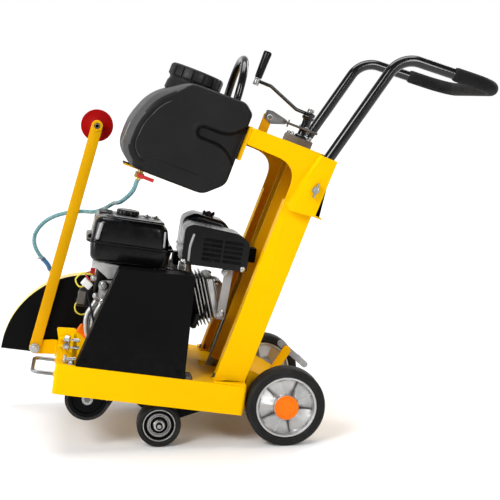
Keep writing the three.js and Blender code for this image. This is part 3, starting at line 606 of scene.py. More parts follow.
GREY_STEEL = metal("grey_steel", (0.13, 0.13, 0.135), 0.4, (0.09, 0.09, 0.095))
DARK_STEEL = metal("dark_steel", (0.16, 0.145, 0.13), 0.45, (0.10, 0.09, 0.08))
BRASS = metal("brass", (0.62, 0.43, 0.14), 0.28, (0.46, 0.30, 0.09))
WIRE = plastic("wire_sleeve", (0.75, 0.62, 0.05), 0.4, (0.6, 0.5, 0.04), 800, 0.1)
WHITE_PLASTIC = plastic("white_plastic", (0.7, 0.7, 0.68), 0.45, (0.6, 0.6, 0.58), 800, 0.1)


def hose_plastic():
    surface = Surface("hose_plastic", (0.17, 0.37, 0.40), 0.22, Transmission_Weight=0.35, IOR=1.42)
    surface.tint(surface.band(surface.noise(60, 3), 0.4, 0.7), (0.11, 0.28, 0.31))
    surface.rough(surface.noise(90, 3), 0.15, 0.32)
    surface.bump(surface.noise(240, 3), 0.1, 0.0004)
    return surface.material


HOSE = hose_plastic()

# ------------------------------------------------------------------ fittings used all over


def bolt(piece, place, across=13, height=6, washer=True, surface=None):
    """A hexagon head with its washer and thread end, standing on place's Z = 0."""
    surface = surface or ZINC
    lift = 0
    if washer:
        piece.add(
            revolve([(0, 0), (across * 0.78, 0), (across * 0.78, 1.2), (across * 0.72, 1.6), (0, 1.6)], 32),
            surface, place
        )
        lift = 1.6
    piece.add(hexagon(across, height), surface, place @ shift(0, 0, lift))
    thread = across * 0.27
    top = lift + height
    piece.add(
        revolve(
            [(0, top - 1), (thread, top - 1), (thread, top + 1.6), (thread - 0.8, top + 2.2), (0, top + 2.2)],
            20
        ),
        surface, place
    )


def weld(piece, start, end, surface, radius=2.4):
    """A weld bead: a bar whose thickness ripples along its length."""
    a, b = Vector(start), Vector(end)
    count = max(4, int((b - a).length / 1.6))
    path = [a.lerp(b, step / count) for step in range(count + 1)]
    radii = [radius * (0.85 + 0.15 * math.sin(step * 1.9)) for step in range(count + 1)]
    piece.add(tube(path, radii, 8, "round"), surface)


def ring_path(x, y, z, radius, steps):
    """The middle line of a weld bead round a bar that points along X."""
    angles = [2 * math.pi * k / steps for k in range(steps + 1)]
    return [Vector((x, y + radius * math.cos(a), z + radius * math.sin(a))) for a in angles]


# ------------------------------------------------------------------ camera and light


def add_camera():
    """A long lens in front of the near side, a little above the deck, looking slightly down."""
    yaw, pitch, roll = (math.radians(angle) for angle in (8.305, 8.101, 0.154))
    place = CHASSIS.to_translation() + Vector((-0.435, -2.6008, 0.7968))
    forward = Vector((math.sin(yaw) * math.cos(pitch), math.cos(yaw) * math.cos(pitch), -math.sin(pitch)))
    right = Vector((math.cos(yaw), -math.sin(yaw), 0))
    up = right.cross(forward)
    facing = Matrix((right, up, -forward)).transposed().to_4x4()
    data = bpy.data.cameras.new("camera")
    data.sensor_width = 36
    data.lens = 80.2
    camera = bpy.data.objects.new("camera", data)
    camera.matrix_world = Matrix.Translation(place) @ facing @ turn(roll, "Z")
    bpy.context.scene.collection.objects.link(camera)
    bpy.context.scene.camera = camera


def add_softbox(name, place, size, power, target=(0, 0, 0.4)):
    data = bpy.data.lights.new(name, "AREA")
    data.shape = "RECTANGLE"
    data.size, data.size_y = size
    data.energy = power
    lamp = bpy.data.objects.new(name, data)
    aim = (Vector(target) - Vector(place)).to_track_quat("-Z", "Y")
    lamp.matrix_world = Matrix.Translation(place) @ aim.to_matrix().to_4x4()
    bpy.context.scene.collection.objects.link(lamp)


def add_studio():
    bpy.context.scene.view_settings.view_transform = "Standard"
    world = bpy.data.worlds.new("studio")
    world.use_nodes = True
    tree = world.node_tree
    direction = tree.nodes.new("ShaderNodeTexCoord").outputs["Generated"]
    parts = tree.nodes.new("ShaderNodeSeparateXYZ")
    tree.links.new(direction, parts.inputs["Vector"])
    depth = tree.nodes.new("ShaderNodeMapRange")
    height = tree.nodes.new("ShaderNodeMapRange")
    total = tree.nodes.new("ShaderNodeMath")
    total.operation = "MULTIPLY"
    for remap, source, low, high, first, last in (
        (depth, "Y", 0.1, 0.85, 0.3, 1.0),
        (height, "Z", 0.12, 0.8, 1.0, 0.45),
    ):
        remap.interpolation_type = "SMOOTHSTEP"
        for socket, value in zip(("From Min", "From Max", "To Min", "To Max"), (low, high, first, last)):
            remap.inputs[socket].default_value = value
        tree.links.new(parts.outputs[source], remap.inputs["Value"])
    tree.links.new(depth.outputs["Result"], total.inputs[0])
    tree.links.new(height.outputs["Result"], total.inputs[1])
    tree.links.new(total.outputs["Value"], tree.nodes["Background"].inputs["Strength"])
    tree.nodes["Background"].inputs["Color"].default_value = (1, 1, 1, 1)
    bpy.context.scene.world = world
    add_softbox("key", (-1.9, -2.2, 2.4), (1.2, 1.2), 70)
    add_softbox("front", (1.3, -3.0, 1.5), (0.5, 1.6), 34)
    add_softbox("left", (-3.2, -0.5, 1.1), (1.0, 1.6), 40)
    add_softbox("top", (0.1, 0.3, 3.2), (2.6, 1.6), 78)
    add_softbox("rim", (2.2, 1.7, 1.9), (1.2, 1.6), 34)

    floor = bpy.data.meshes.new("floor")
    half = 30
    floor.from_pydata(
        [(-half, -half, 0), (half, -half, 0), (half, half, 0), (-half, half, 0)], [], [(0, 1, 2, 3)]
    )
    surface = Surface("floor", (0.9, 0.9, 0.9), 0.85)
    surface.tint(surface.band(surface.noise(3, 3), 0.4, 0.7, 0, 0.4), (0.88, 0.88, 0.88))
    across = surface.node("ShaderNodeSeparateXYZ")
    surface.link(surface.coordinates, across.inputs["Vector"])
    surface.set("Emission Color", (1, 1, 1, 1))
    surface.link(
        surface.band(across.outputs["Y"], 0.4, 5, 0, 0.9), surface.shader.inputs["Emission Strength"]
    )
    floor.materials.append(surface.material)
    plane = bpy.data.objects.new("floor", floor)
    bpy.context.scene.collection.objects.link(plane)


add_camera()
add_studio()

# ------------------------------------------------------------------ water hose

HOSE_RADIUS = 5
OUTLET = Vector((-352, -95, 350))  # the lower end of the tank's outlet, in the column frame
GUARD_MIDDLE = 222  # across the machine
NIPPLE_DIRECTION = Vector((-0.5034, 0, 0.8641))
NIPPLE_END = 243  # from the blade shaft axis


def nipple(distance):
    return SPINDLE + Vector((0, GUARD_MIDDLE, 0)) + NIPPLE_DIRECTION * distance


def hose_route():
    """Down from the tank outlet, over the fuel tank, past the pointer arm and round to the guard."""
    to_chassis = CHASSIS.inverted() @ COLUMN
    knots = [
        to_chassis @ (OUTLET - Vector((0, 0, 0.3))),
        to_chassis @ (OUTLET - Vector((0, 0, 24))),
        (-440, -38, 484),
        (-456, 40, 468),
        (-474, 102, 446),
        (-497, 152, 430),
        (-519, 188, 424),
        (-545, 207, 417),
        (-587, 221, 399),
        (-614, 222, 377),
        (-630, 222, 346),
        (-628, 222, 320),
        (-614, 222, 298),
        nipple(NIPPLE_END + 16),
        nipple(NIPPLE_END + 0.3),
    ]
    return through(knots)


def add_hose():
    route = [CHASSIS @ point for point in hose_route()]
    curve = bpy.data.curves.new("hose", "CURVE")
    curve.dimensions = "3D"
    curve.bevel_depth = HOSE_RADIUS * MM
    curve.bevel_resolution = 6
    curve.use_fill_caps = True
    curve.materials.append(HOSE)
    spline = curve.splines.new("POLY")
    spline.points.add(len(route) - 1)
    for point, place in zip(spline.points, route):
        point.co = (*place, 1)
    hose = bpy.data.objects.new("hose", curve)
    bpy.context.scene.collection.objects.link(hose)
    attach(hose, "chassis")
    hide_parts("water_hose")


add_hose()

# ------------------------------------------------------------------ parts that keep their CAD shape

for name in ("base_frame", "axle_cradle", "pointer_bracket"):
    refine(name, YELLOW, 1.0)
for name in ("column_near_plate", "column_far_plate"):
    refine(name, YELLOW, 0.5, 1, 40, harden=False)
for name in ("column_cross_plate", "screw_guide"):
    refine(name, AMBER, 0.8)

PAINTED_SHADE_TOP = 400  # up the column; below it the bracket is painted black as shade under the tank


def add_front_plate():
    """The tank bracket in painted shade, since it stands in the tank's shadow: amber above and black below.
    """
    bracket = refine("column_front_plate", AMBER, 0.8)
    bracket.data.materials.append(BLACK_SATIN)
    to_column = COLUMN.inverted()
    for polygon in bracket.data.polygons:
        middle = to_column @ polygon.center
        if middle.z < PAINTED_SHADE_TOP:
            polygon.material_index = 1


add_front_plate()
for name in ("belt_guard", "swing_frame"):
    refine(name, BLACK_SATIN, 0.8)
refine("spindle_housing", CAST, 1.2)
refine("bearing_block", DARK_STEEL, 1.2)
refine("brake_lever", STEEL, 0.6)
for name in ("wing_bolt_near", "wing_bolt_far", "throttle_lever"):
    refine(name, ZINC, 0.6)
refine("lock_latch", GREY_STEEL, 0.6)
for name in ("rear_axle", "push_rod", "blade_shaft", "crankshaft", "inner_flange", "outer_flange"):
    refine(name, STEEL, 0.6, crease=28)
refine("tank_outlet", BRASS, 0.8, crease=40)
refine("valve_lever", RED_PLASTIC, 1.2)
refine("choke_lever", BLACK_PLASTIC, 0.6)
refine("engine_switch", RED_PLASTIC, 1.2)

# ------------------------------------------------------------------ rear wheels

REAR_WHEEL_Y = 178
TYRE_SIZE = {"radius": 90, "rim": 69.5, "half": 24}
SPOKES = 5


def at_wheel(axle, y):
    """Z of the solid becomes the machine's Y, at a wheel's centre."""
    return shift(axle.x, y, axle.z) @ TO_Y


def add_rear_wheel(name, side):
    hub = at_wheel(REAR_AXLE, side * REAR_WHEEL_Y) @ (turn(math.pi, "X") if side < 0 else Matrix())
    radius, rim, half = TYRE_SIZE["radius"], TYRE_SIZE["rim"], TYRE_SIZE["half"]
    body = f"rear_wheel_{name}"

    shoulder = [
        (rim + 0.4, -half + 4), (rim + 3, -half + 1.5), (rim + 8, -half + 0.4), (rim + 9, -half + 1.0),
        (rim + 10, -half + 0.4), (radius - 7, -half + 0.6), (radius - 3, -half + 2.4),
        (radius - 0.9, -half + 5.5),
    ]
    tread = [(radius - 0.1, -half + 9)]
    for groove in (-11, 0, 11):
        tread += [
            (radius, groove - 1.4), (radius - 1.6, groove - 1), (radius - 1.6, groove + 1),
            (radius, groove + 1.4)
        ]
    tread.append((radius - 0.1, half - 9))
    outer = [(r, -z) for r, z in reversed(shoulder)]
    tyre = Piece(f"rear_tyre_{name}_fine", body)
    tyre.add(revolve(shoulder + tread + outer, 112, ring=True), TYRE_RUBBER, hub)
    tyre.done(crease=50, replaces=(f"rear_tyre_{name}",))

    def ridge(angle):
        """A zigzag round the wheel: sharp crests and troughs, SPOKES of each."""
        share = (angle * SPOKES / (2 * math.pi)) % 1
        return 1 - 4 * abs(share - 0.5)

    web = [(30, 12, 2.5), (34, 10.6, 4.6), (48, 9.6, 6.4), (60, 9.4, 6.0), (62.4, 10, 2)]
    face = [(10.6, 21, 0), (25, 21, 0), (28, 19, 0), (29, 13, 0.4)] + web
    lip = [(63.2, 13, 0), (64.2, 19, 0), (65.5, 20.4, 0), (68.6, 20.4, 0), (rim, 19.4, 0)]
    section = face + lip
    whole = section + [(r, -z, -w) for r, z, w in reversed(section)]
    profile = [(r, z) for r, z, _ in reversed(whole)]
    weights = [w for _, _, w in reversed(whole)]
    casting_piece = Piece(f"rear_rim_{name}_fine", body)
    casting_piece.add(
        revolve(profile, 120, ring=True, ripple=lambda angle, index: (0, weights[index] * ridge(angle))),
        BRIGHT_CAST,
        hub,
    )
    # Thin fins along the zigzag: zinc on each crest is a painted highlight, dark steel in each trough is
    # painted shade.
    for step in range(2 * SPOKES):
        angle = math.pi * step / SPOKES
        crest = 16.6 if step % 2 else 6.0
        blade = slab([(29, 3), (63.4, 2), (63.4, crest + 1.2), (46, crest + 0.9), (29, 17)], -1.1, 1.1)
        casting_piece.add(moved(blade, turn(angle, "Z")), ZINC if step % 2 else DARK_STEEL, hub)
    casting_piece.done(crease=14, replaces=(f"rear_rim_{name}",))

    cap = Piece(f"rear_hub_cap_{name}", body)
    profile = [
        (0, 18.5), (27.4, 18.5), (27.4, 22.6), (26.4, 23.7), (24.6, 23.7), (23.4, 22.4),
        (20, 22.2), (18.8, 23.2), (9, 23.8), (0, 23.9),
    ]
    cap.add(revolve(profile, 64), ORANGE, hub)
    for step in range(6):
        angle = step * math.pi / 3
        rib = moved(block((19.5, 25), (-1.1, 1.1), (21, 23.3)), turn(angle, "Z"))
        cap.add(rib, ORANGE, hub)
    cap.done(0.3, slot="orange_plastic")

    axle_end = Piece(f"rear_axle_end_{name}", "chassis")
    outside = side * (REAR_WHEEL_Y + 17.4)
    axle_end.add(
        rod(9.9, (REAR_AXLE.x, outside - side * 3, REAR_AXLE.z), (REAR_AXLE.x, outside, REAR_AXLE.z)), STEEL
    )
    axle_end.done(0.5)


for side_name, side_sign in SIDES:
    add_rear_wheel(side_name, side_sign)


# ------------------------------------------------------------------ front wheels

FRONT_WHEEL_Y = 149


def add_front_wheel(name, side):
    hub = at_wheel(FRONT_AXLE, side * FRONT_WHEEL_Y) @ (turn(math.pi, "X") if side < 0 else Matrix())
    body = f"front_wheel_{name}"
    wheel = Piece(f"front_wheel_{name}_fine", body)
    tread = [
        (37, 12), (38, 20.5), (40.5, 22.6), (45, 22.2), (48.6, 19.5), (49.8, 15),
        (50, 6), (49.3, 5), (49.3, -5), (50, -6),
    ]
    tread += [(r, -z) for r, z in reversed(tread[:6])]
    wheel.add(revolve(list(reversed(tread)), 88, ring=True), TYRE_RUBBER, hub)
    dish = [(8.6, -15), (37.2, -15), (37.2, 14), (35, 14), (32, 10), (20, 9), (14, 9), (8.6, 9)]
    wheel.add(revolve(dish, 72, ring=True), BLACK_SATIN, hub)
    for inner, outer, low, high, surface in (
        (34.4, 37.0, 12, 18.2, ZINC), (22.5, 27.5, 8, 15.4, STEEL), (19.8, 21.6, 8, 14.4, ZINC),
    ):
        edge = (outer - inner) * 0.2
        ring_profile = [
            (inner, low), (outer, low), (outer, high - edge), (outer - edge, high), (inner + edge, high),
            (inner, high - edge)
        ]
        wheel.add(revolve(ring_profile, 72, ring=True), surface, hub)
    wheel.add(
        revolve([(8.6, 6), (13.4, 6), (13.4, 17.4), (12.2, 18.6), (8.6, 18.6)], 48, ring=True), ZINC, hub
    )
    wheel.done(0.4, crease=30, replaces=(f"front_wheel_{name}",))

    nut = Piece(f"front_axle_nut_{name}", "swing_frame")
    nut.add(revolve([(0, 18.9), (11.6, 18.9), (12, 19.4), (11.4, 20.6), (0, 20.9)], 40), ZINC, hub)
    nut.add(hexagon(12, 5), ZINC, hub @ shift(0, 0, 20.8))
    nut.add(revolve([(0, 25), (5, 25), (5, 27.6), (4.2, 28.4), (0, 28.4)], 28), STEEL, hub)
    nut.done(0.5)


for side_name, side_sign in SIDES:
    add_front_wheel(side_name, side_sign)


# ------------------------------------------------------------------ handlebar

HANDLE = {"y": 179, "tube": 12.5, "bend": 62, "grip": 15.9}
KNEE = (115, 904)
HEEL = (352, 869)
HANDLE_LEAN = math.radians(26.5)
SOCKET_DEPTH = 400


def handle_corners(start):
    """The tube's corners from a point on the near side round to its twin on the far side."""
    near = [start, (KNEE[0], -HANDLE["y"], KNEE[1])] if start[2] < HEEL[1] - 1 else [start]
    near.append((HEEL[0], -HANDLE["y"], HEEL[1]))
    far = [(x, -y, z) for x, y, z in reversed(near)]
    return near + far


def add_handlebar():
    y = HANDLE["y"]
    low = (
        KNEE[0] - SOCKET_DEPTH * math.sin(HANDLE_LEAN),
        -y,
        KNEE[1] - SOCKET_DEPTH * math.cos(HANDLE_LEAN),
    )
    route = bent(handle_corners(low), [HANDLE["bend"]] * 4, 14)
    bar = Piece("handlebar_fine", "handlebar")
    bar.add(tube(route, HANDLE["tube"], 32), BLACK_GLOSS)
    bar.done(crease=50, replaces=("handlebar",))

    share = 0.56
    start = (KNEE[0] + (HEEL[0] - KNEE[0]) * share, -y, KNEE[1] + (HEEL[1] - KNEE[1]) * share)
    route = bent(handle_corners(start), [HANDLE["bend"]] * 2, 22)
    grip = Piece("handle_grip_fine", "handlebar")
    grip.add(tube(fine(route, 6), HANDLE["grip"], 36, "round"), FOAM)
    grip.done(crease=60, replaces=("handle_grip",))


def fine(route, step):
    """The same route with points no further apart than step."""
    result = [route[0]]
    for a, b in zip(route, route[1:]):
        count = max(1, round((b - a).length / step))
        result += [a.lerp(b, k / count) for k in range(1, count + 1)]
    return result


add_handlebar()

# ------------------------------------------------------------------ water tank

TANK_HALF = 139.6
TANK_FACE = (
    (-378, 373.6, 44), (-412.5, 402, 56), (-414.5, 470, 150), (-388, 545, 118), (-320, 595.6, 58),
    (-190, 598.4, 24), (-167, 580, 16), (-166.4, 412, 30), (-208, 373.6, 34),
)
TANK_CENTRE = (-292, 488)
FILLER_X = -303
TANK_EDGE = {"sides": 10, "front": 23}  # how wide the rounding of the side faces is
GROOVE = {"end": -256, "middle": 502.5, "half": 14.5, "flare": 36, "depth": 13, "opens": -226, "run": 60}
SILL = {"from": -366, "to": -184, "height": 412, "drop": 3.2}
BAIL_RECESS = ((-231.6, -150), (-115.6, 115.6), (360, 640))


def ease(value, low, high):
    share = min(max((value - low) / (high - low), 0), 1)
    return share * share * (3 - 2 * share)


def groove_distance(x, z):
    """Signed distance to a channel that ends round on the left and opens like a trumpet on the right."""
    if x < GROOVE["end"]:
        return math.hypot(x - GROOVE["end"], z - GROOVE["middle"]) - GROOVE["half"]
    flare = max(x - GROOVE["opens"], 0) / GROOVE["run"]
    return abs(z - GROOVE["middle"]) - GROOVE["half"] - GROOVE["flare"] * flare ** 2.4


def tank_relief(x, z):
    """How far a side face lies below its crown: the strap channel, its lip and the step low down."""
    away = groove_distance(x, z)
    channel = GROOVE["depth"] * ease(-away, -3, 6)
    lip = -1.5 * ease(away, 2, 5) * (1 - ease(away, 7, 14))
    inside = ease(x, SILL["from"], SILL["from"] + 14) * (1 - ease(x, SILL["to"] - 14, SILL["to"]))
    sill = SILL["drop"] * ease(SILL["height"] - z, 0, 3.5) * inside
    return channel + lip + sill


def tank_body():
    """Rings from the seam to the middle of each side face."""
    shape = outline(TANK_FACE, 12)
    dense = []
    for index, (x, z) in enumerate(shape):
        nx, nz = shape[(index + 1) % len(shape)]
        count = max(1, round(math.hypot(nx - x, nz - z) / 3))
        dense += [(x + (nx - x) * k / count, z + (nz - z) * k / count) for k in range(count)]
    cx, cz = TANK_CENTRE

    def edge_width(x):
        return TANK_EDGE["sides"] + (TANK_EDGE["front"] - TANK_EDGE["sides"]) * ease(-x, 310, 372)

    rings = []
    for side in (-1, 1):
        half = []
        for step in range(10):
            angle = math.pi / 2 * step / 9
            ring = []
            for x, z in dense:
                width = edge_width(x)
                scale = 1 - width * (1 - math.cos(angle)) / math.hypot(x - cx, z - cz)
                px, pz = cx + (x - cx) * scale, cz + (z - cz) * scale
                y = TANK_HALF - width * (1 - math.sin(angle)) - math.sin(angle) * tank_relief(px, pz)
                ring.append(Vector((px, side * y, pz)))
            half.append(ring)
        rim = half[-1]
        steps = 84
        for step in range(1, steps):
            share = 1 - step / steps
            ring = []
            for point in rim:
                x, z = cx + (point.x - cx) * share, cz + (point.z - cz) * share
                inset = (1 - share) * math.hypot(point.x - cx, point.z - cz)
                line = 1.8 * ease(inset, 1, 3) * (1 - ease(inset, 4, 6)) * ease(-point.x, 330, 372)
                ring.append(Vector((x, side * (TANK_HALF - tank_relief(x, z) - line), z)))
            half.append(ring)
        rings = list(reversed(half)) if side < 0 else rings + half
    return loft(rings)


def add_water_tank():
    tank = Piece("water_tank_fine", "chassis", COLUMN)
    tank.add(tank_body(), TANK_PLASTIC)
    recess = solid_mesh(block(*BAIL_RECESS), COLUMN, TANK_PLASTIC)
    body = tank.done(crease=38, replaces=("water_tank",), carve=(recess,))
    body.data.materials.append(TANK_GRAIN_PAINTED_LIGHT)
    upright = COLUMN.to_3x3().normalized().inverted()
    # Faces turned to the front get the lighter grained plastic: a painted highlight band on the side that
    # faces the light.
    for polygon in body.data.polygons:
        facing = upright @ polygon.normal
        middle = COLUMN.inverted() @ polygon.center
        if facing.x < -0.3 and abs(facing.y) < 0.9 and middle.x < -318:
            polygon.material_index = len(body.data.materials) - 1

    neck = Piece("tank_neck", "chassis", COLUMN)
    profile = [
        (50, 560), (62, 570), (60.5, 588), (58, 592), (58, 598), (60, 599.4), (60, 600.8), (50, 600.8),
    ]
    neck.add(revolve(profile, 72, ring=True), TANK_PLASTIC, shift(FILLER_X, 0, 0))
    neck.done(crease=30, slot="tank_plastic")

    label = Piece("tank_plate", "chassis", COLUMN)
    label.add(
        block((-0.6, 0.4), (-110, -92), (-24, 24)), ZINC, shift(-413.6, 0, 440) @ turn(math.radians(2), "Y")
    )
    label.done(0.3, slot="tank_plastic")


CAP = {"radius": 64, "bottom": 601.3, "height": 28, "panels": 16}


def add_tank_cap():
    """A screw cap with raised grip panels between narrow grooves and a stepped, dished top."""
    radius, bottom, height = CAP["radius"], CAP["bottom"], CAP["height"]
    weights = [0, 0.4, 1, 1, 0.5, 0, 0, 0, 0, 0, 0]
    profile = [
        (0, 0.2), (radius - 3, 0.2), (radius - 1.2, 1.6), (radius - 1, height - 7),
        (radius - 2.4, height - 3),
        (radius - 5.5, height - 0.6), (radius - 9, height - 0.6), (radius - 11, height - 3),
        (20, height - 3.4), (17, height - 1.6), (0, height - 1.2),
    ]

    def grips(angle, index):
        share = (angle * CAP["panels"] / (2 * math.pi)) % 1
        groove = ease(0.12 - abs(share - 0.5), 0, 0.07)
        return (0.9 - 3.6 * groove) * weights[index], 0

    cap = Piece("tank_cap_fine", "tank_cap", COLUMN)
    cap.add(revolve(profile, CAP["panels"] * 16, ripple=grips), BLACK_PLASTIC, shift(FILLER_X, 0, bottom))
    for step in range(4):
        rib = block((-2, 2), (20, 50), (height - 4, height - 2))
        cap.add(moved(rib, turn(step * math.pi / 2, "Z")), BLACK_PLASTIC, shift(FILLER_X, 0, bottom))
    cap.done(crease=30, replaces=("tank_cap",))


def add_bail():
    plate_x = -164.6
    width = 95
    corners = [
        (plate_x, -width, 520), (-201, -width, 520), (-216, -width, 694),
        (-216, width, 694), (-201, width, 520), (plate_x, width, 520),
    ]
    bail = Piece("lifting_bail_fine", "chassis", COLUMN)
    bail.add(tube(bent(corners, [20, 88, 88, 20], 16), 9, 28), BLACK_GLOSS)
    bail.done(crease=50, replaces=("lifting_bail",))
    beads = Piece("bail_welds", "chassis", COLUMN)
    for y in (-width, width):
        beads.add(tube(ring_path(plate_x - 1, y, 520, 9.6, 24), 2.2, 8), AMBER)
    beads.done(crease=60, slot="amber_paint")


add_water_tank()
add_tank_cap()
add_bail()

# ------------------------------------------------------------------ lift screw, crank and lock

CRANK_REACH = 146


def add_lift_screw():
    """A threaded spindle under a spool-shaped head with set screws, a spring and a lock nut."""
    profile = [(0, 34), (6.2, 34)]
    z = 38
    while z < 500:
        profile += [(6.9, z), (6.9, z + 1.5), (6.0, z + 2.2), (6.0, z + 3.6)]
        z += 6
    profile += [
        (6.9, 506), (6.9, 574.4), (15.4, 574.4), (16, 575), (16, 579), (15, 580.4), (11, 583), (10.6, 590)
    ]
    profile += [(10.6, 614), (11, 619), (14.6, 622), (15, 623), (15, 627), (14, 628), (0, 628)]
    screw = Piece("lift_screw_fine", "crank", COLUMN)
    screw.add(revolve(profile, 36), BLACK_GLOSS, shift(SCREW_X, 0, 0))
    for angle in (0.7, 2.8, 4.9):
        place = shift(SCREW_X, 0, 601) @ turn(angle, "Z") @ shift(10.2, 0, 0) @ TO_X
        screw.add(hexagon(6, 3.4, 0.3), ZINC, place)
    screw.done(crease=30, replaces=("lift_screw",))

    arm = Piece("crank_arm_fine", "crank", COLUMN)
    corners = [(0, 0, 633), (-34, 0, 633), (-110, 0, 661), (-CRANK_REACH, 0, 661)]
    arm.add(tube(bent(corners, [14, 14], 8), 4.2, 20, "round"), BLACK_GLOSS, shift(SCREW_X, 0, 0))
    arm.add(
        revolve([(0, 628.4), (13.6, 628.4), (14, 629), (14, 636), (13, 637), (0, 637)], 40), BLACK_GLOSS,
        shift(SCREW_X, 0, 0)
    )
    arm.add(hexagon(13, 6), ZINC, shift(SCREW_X, 0, 637))
    coil = [
        Vector((SCREW_X + 7.6 * math.cos(k * 0.5), 7.6 * math.sin(k * 0.5), 637.5 + k * 0.115))
        for k in range(75)
    ]
    arm.add(tube(coil, 0.9, 8), ZINC)
    grip_x = SCREW_X - CRANK_REACH
    arm.add(rod(7, (grip_x, 0, 655), (grip_x, 0, 667)), ZINC)
    arm.add(hexagon(13, 5), ZINC, shift(grip_x, 0, 655) @ turn(math.pi, "X"))
    arm.add(rod(4, (grip_x, 0, 655), (grip_x, 0, 727)), ZINC)
    arm.done(0.4, replaces=("crank_arm",))

    profile = [
        (4.6, 667.6), (7.6, 667.6), (8.4, 668.6), (8.6, 672), (9.0, 690), (9.6, 712), (10.2, 728),
        (9.6, 731), (8.0, 732.6), (0, 732.9),
    ]
    grip = Piece("crank_grip_fine", "crank_grip", COLUMN)
    grip.add(revolve([(0, 727.5), (4.6, 727.5)] + profile, 40), GLOSS_PLASTIC, shift(grip_x, 0, 0))
    grip.done(crease=35, replaces=("crank_grip",))


def add_lock_details():
    bolts = Piece("lock_latch_bolt", "lock_latch", COLUMN)
    bolts.add(
        revolve([(0, 0), (6.4, 0), (6.4, 1.4), (5, 2.6), (0, 3.4)], 32), WHITE_PLASTIC,
        shift(-114, -34, 592) @ TO_NEAR
    )
    bolts.done(crease=30)
    rest = Piece("bearing_block_bolts", "chassis", COLUMN)
    for x in (-49, -4):
        for y in (-20, 20):
            bolt(rest, shift(x, y, 574), 10, 5)
    rest.done(0.3)


add_lift_screw()
add_lock_details()

# ------------------------------------------------------------------ engine: tank, silencer, air cleaner

GREY_PLASTIC = plastic("grey_plastic", (0.34, 0.34, 0.34), 0.4, (0.26, 0.26, 0.26), 800, 0.1)


def soft_box(x, y, z, corner, top=2.0, bottom=2.0, taper=(0, 0), steps=7):
    """A box with upright round corners and round upper and lower edges.

    taper is how far the left and right ends lean in between bottom and top."""

    def ring(height, inset):
        share = (height - z[0]) / (z[1] - z[0])
        x0, x1 = x[0] + inset + taper[0] * share, x[1] - inset - taper[1] * share
        y0, y1 = y[0] + inset, y[1] - inset
        r = max(corner - inset, 0.8)
        points = []
        for cx, cy, start in (
            (x1 - r, y1 - r, 0), (x0 + r, y1 - r, 90), (x0 + r, y0 + r, 180), (x1 - r, y0 + r, 270),
        ):
            for step in range(steps + 1):
                angle = math.radians(start + 90 * step / steps)
                points.append(Vector((cx + r * math.cos(angle), cy + r * math.sin(angle), height)))
        return points

    rings = []
    for step in range(steps + 1):
        angle = math.pi / 2 * step / steps
        rings.append(ring(z[0] + bottom * (1 - math.cos(angle)), bottom * (1 - math.sin(angle))))
    for step in range(steps + 1):
        angle = math.pi / 2 * step / steps
        rings.append(ring(z[1] - top * (1 - math.sin(angle)), top * (1 - math.cos(angle))))
    return loft(rings)


FUEL_FILLER = (-418, 34)


def add_fuel_tank():
    tank = Piece("fuel_tank_fine", "chassis")
    tank.add(soft_box((-498, -318), (-98, 88), (389, 448), 26, 17, 2, (5, 13)), GLOSS_PLASTIC)
    tank.add(soft_box((-494, -318), (-96, 86), (346, 391), 24, 1, 12, (-4, -6)), GLOSS_PLASTIC)
    tank.add(soft_box((-508, -309), (-102, 92), (387.6, 393.4), 28, 2, 2), GLOSS_PLASTIC)
    for low in (40, 15, -10):
        ridge = soft_box((-486, -452), (low, low + 17), (440, 451.5), 6, 5, 1)
        tank.add(ridge, GLOSS_PLASTIC)
    tank.add(soft_box((-472, -336), (-74, -22), (440, 450.2), 18, 4, 1), GLOSS_PLASTIC)
    tank.add(
        revolve([(0, 0), (34, 0), (34, 3.4), (32, 5), (0, 5)], 56), GLOSS_PLASTIC, shift(*FUEL_FILLER, 444)
    )
    tank.done(crease=42, replaces=("fuel_tank",))

    trim = Piece("fuel_tank_trim_and_highlight", "chassis")
    # Light grey strips on ribs of the near face: the thin one at x -334 is a painted highlight, the wide one
    # a light grey rib.
    for x, lean, width in ((-482, 5, 4.2), (-334, -1.5, 2.4)):
        path = [(x - lean / 2, -97.4, 399), (x, -97.8, 416), (x + lean / 2, -95.8, 432)]
        trim.add(tube(through(path, 5), width, 14, "round"), GREY_PLASTIC)
    for x in (-350, -372):
        bolt(trim, shift(x, 34, 447.5), 8, 3.4)
    trim.add(
        tube(through([(-392, 10, 451), (-376, 0, 453), (-352, 4, 451.5), (-344, 20, 449)], 6), 1.8, 10),
        ZINC
    )
    for x, y in ((-500, -40), (-316, -60), (-316, 40)):
        bolt(trim, shift(x, y, 393.2), 8, 3.4, surface=BLACK_SATIN)
    trim.done(0.2)

    weights = [0, 1, 1, 0.6, 0, 0, 0]

    def grips(angle, index):
        return -1.5 * weights[index] * ease(math.cos(12 * angle), 0.3, 0.95), 0

    cap = Piece("fuel_cap_fine", "fuel_cap")
    profile = [(0, 0.2), (27, 0.2), (27, 7.5), (25.6, 10), (22, 11), (9, 9.6), (0, 9.6)]
    cap.add(revolve(profile, 144, ripple=grips), GLOSS_PLASTIC, shift(*FUEL_FILLER, 448.6))
    cap.done(crease=35, replaces=("fuel_cap",))


LOUVRES = {"columns": ((-246, -206), (-198, -158)), "first": 386, "pitch": 11, "rows": 5}
GUARD_FACE = -119


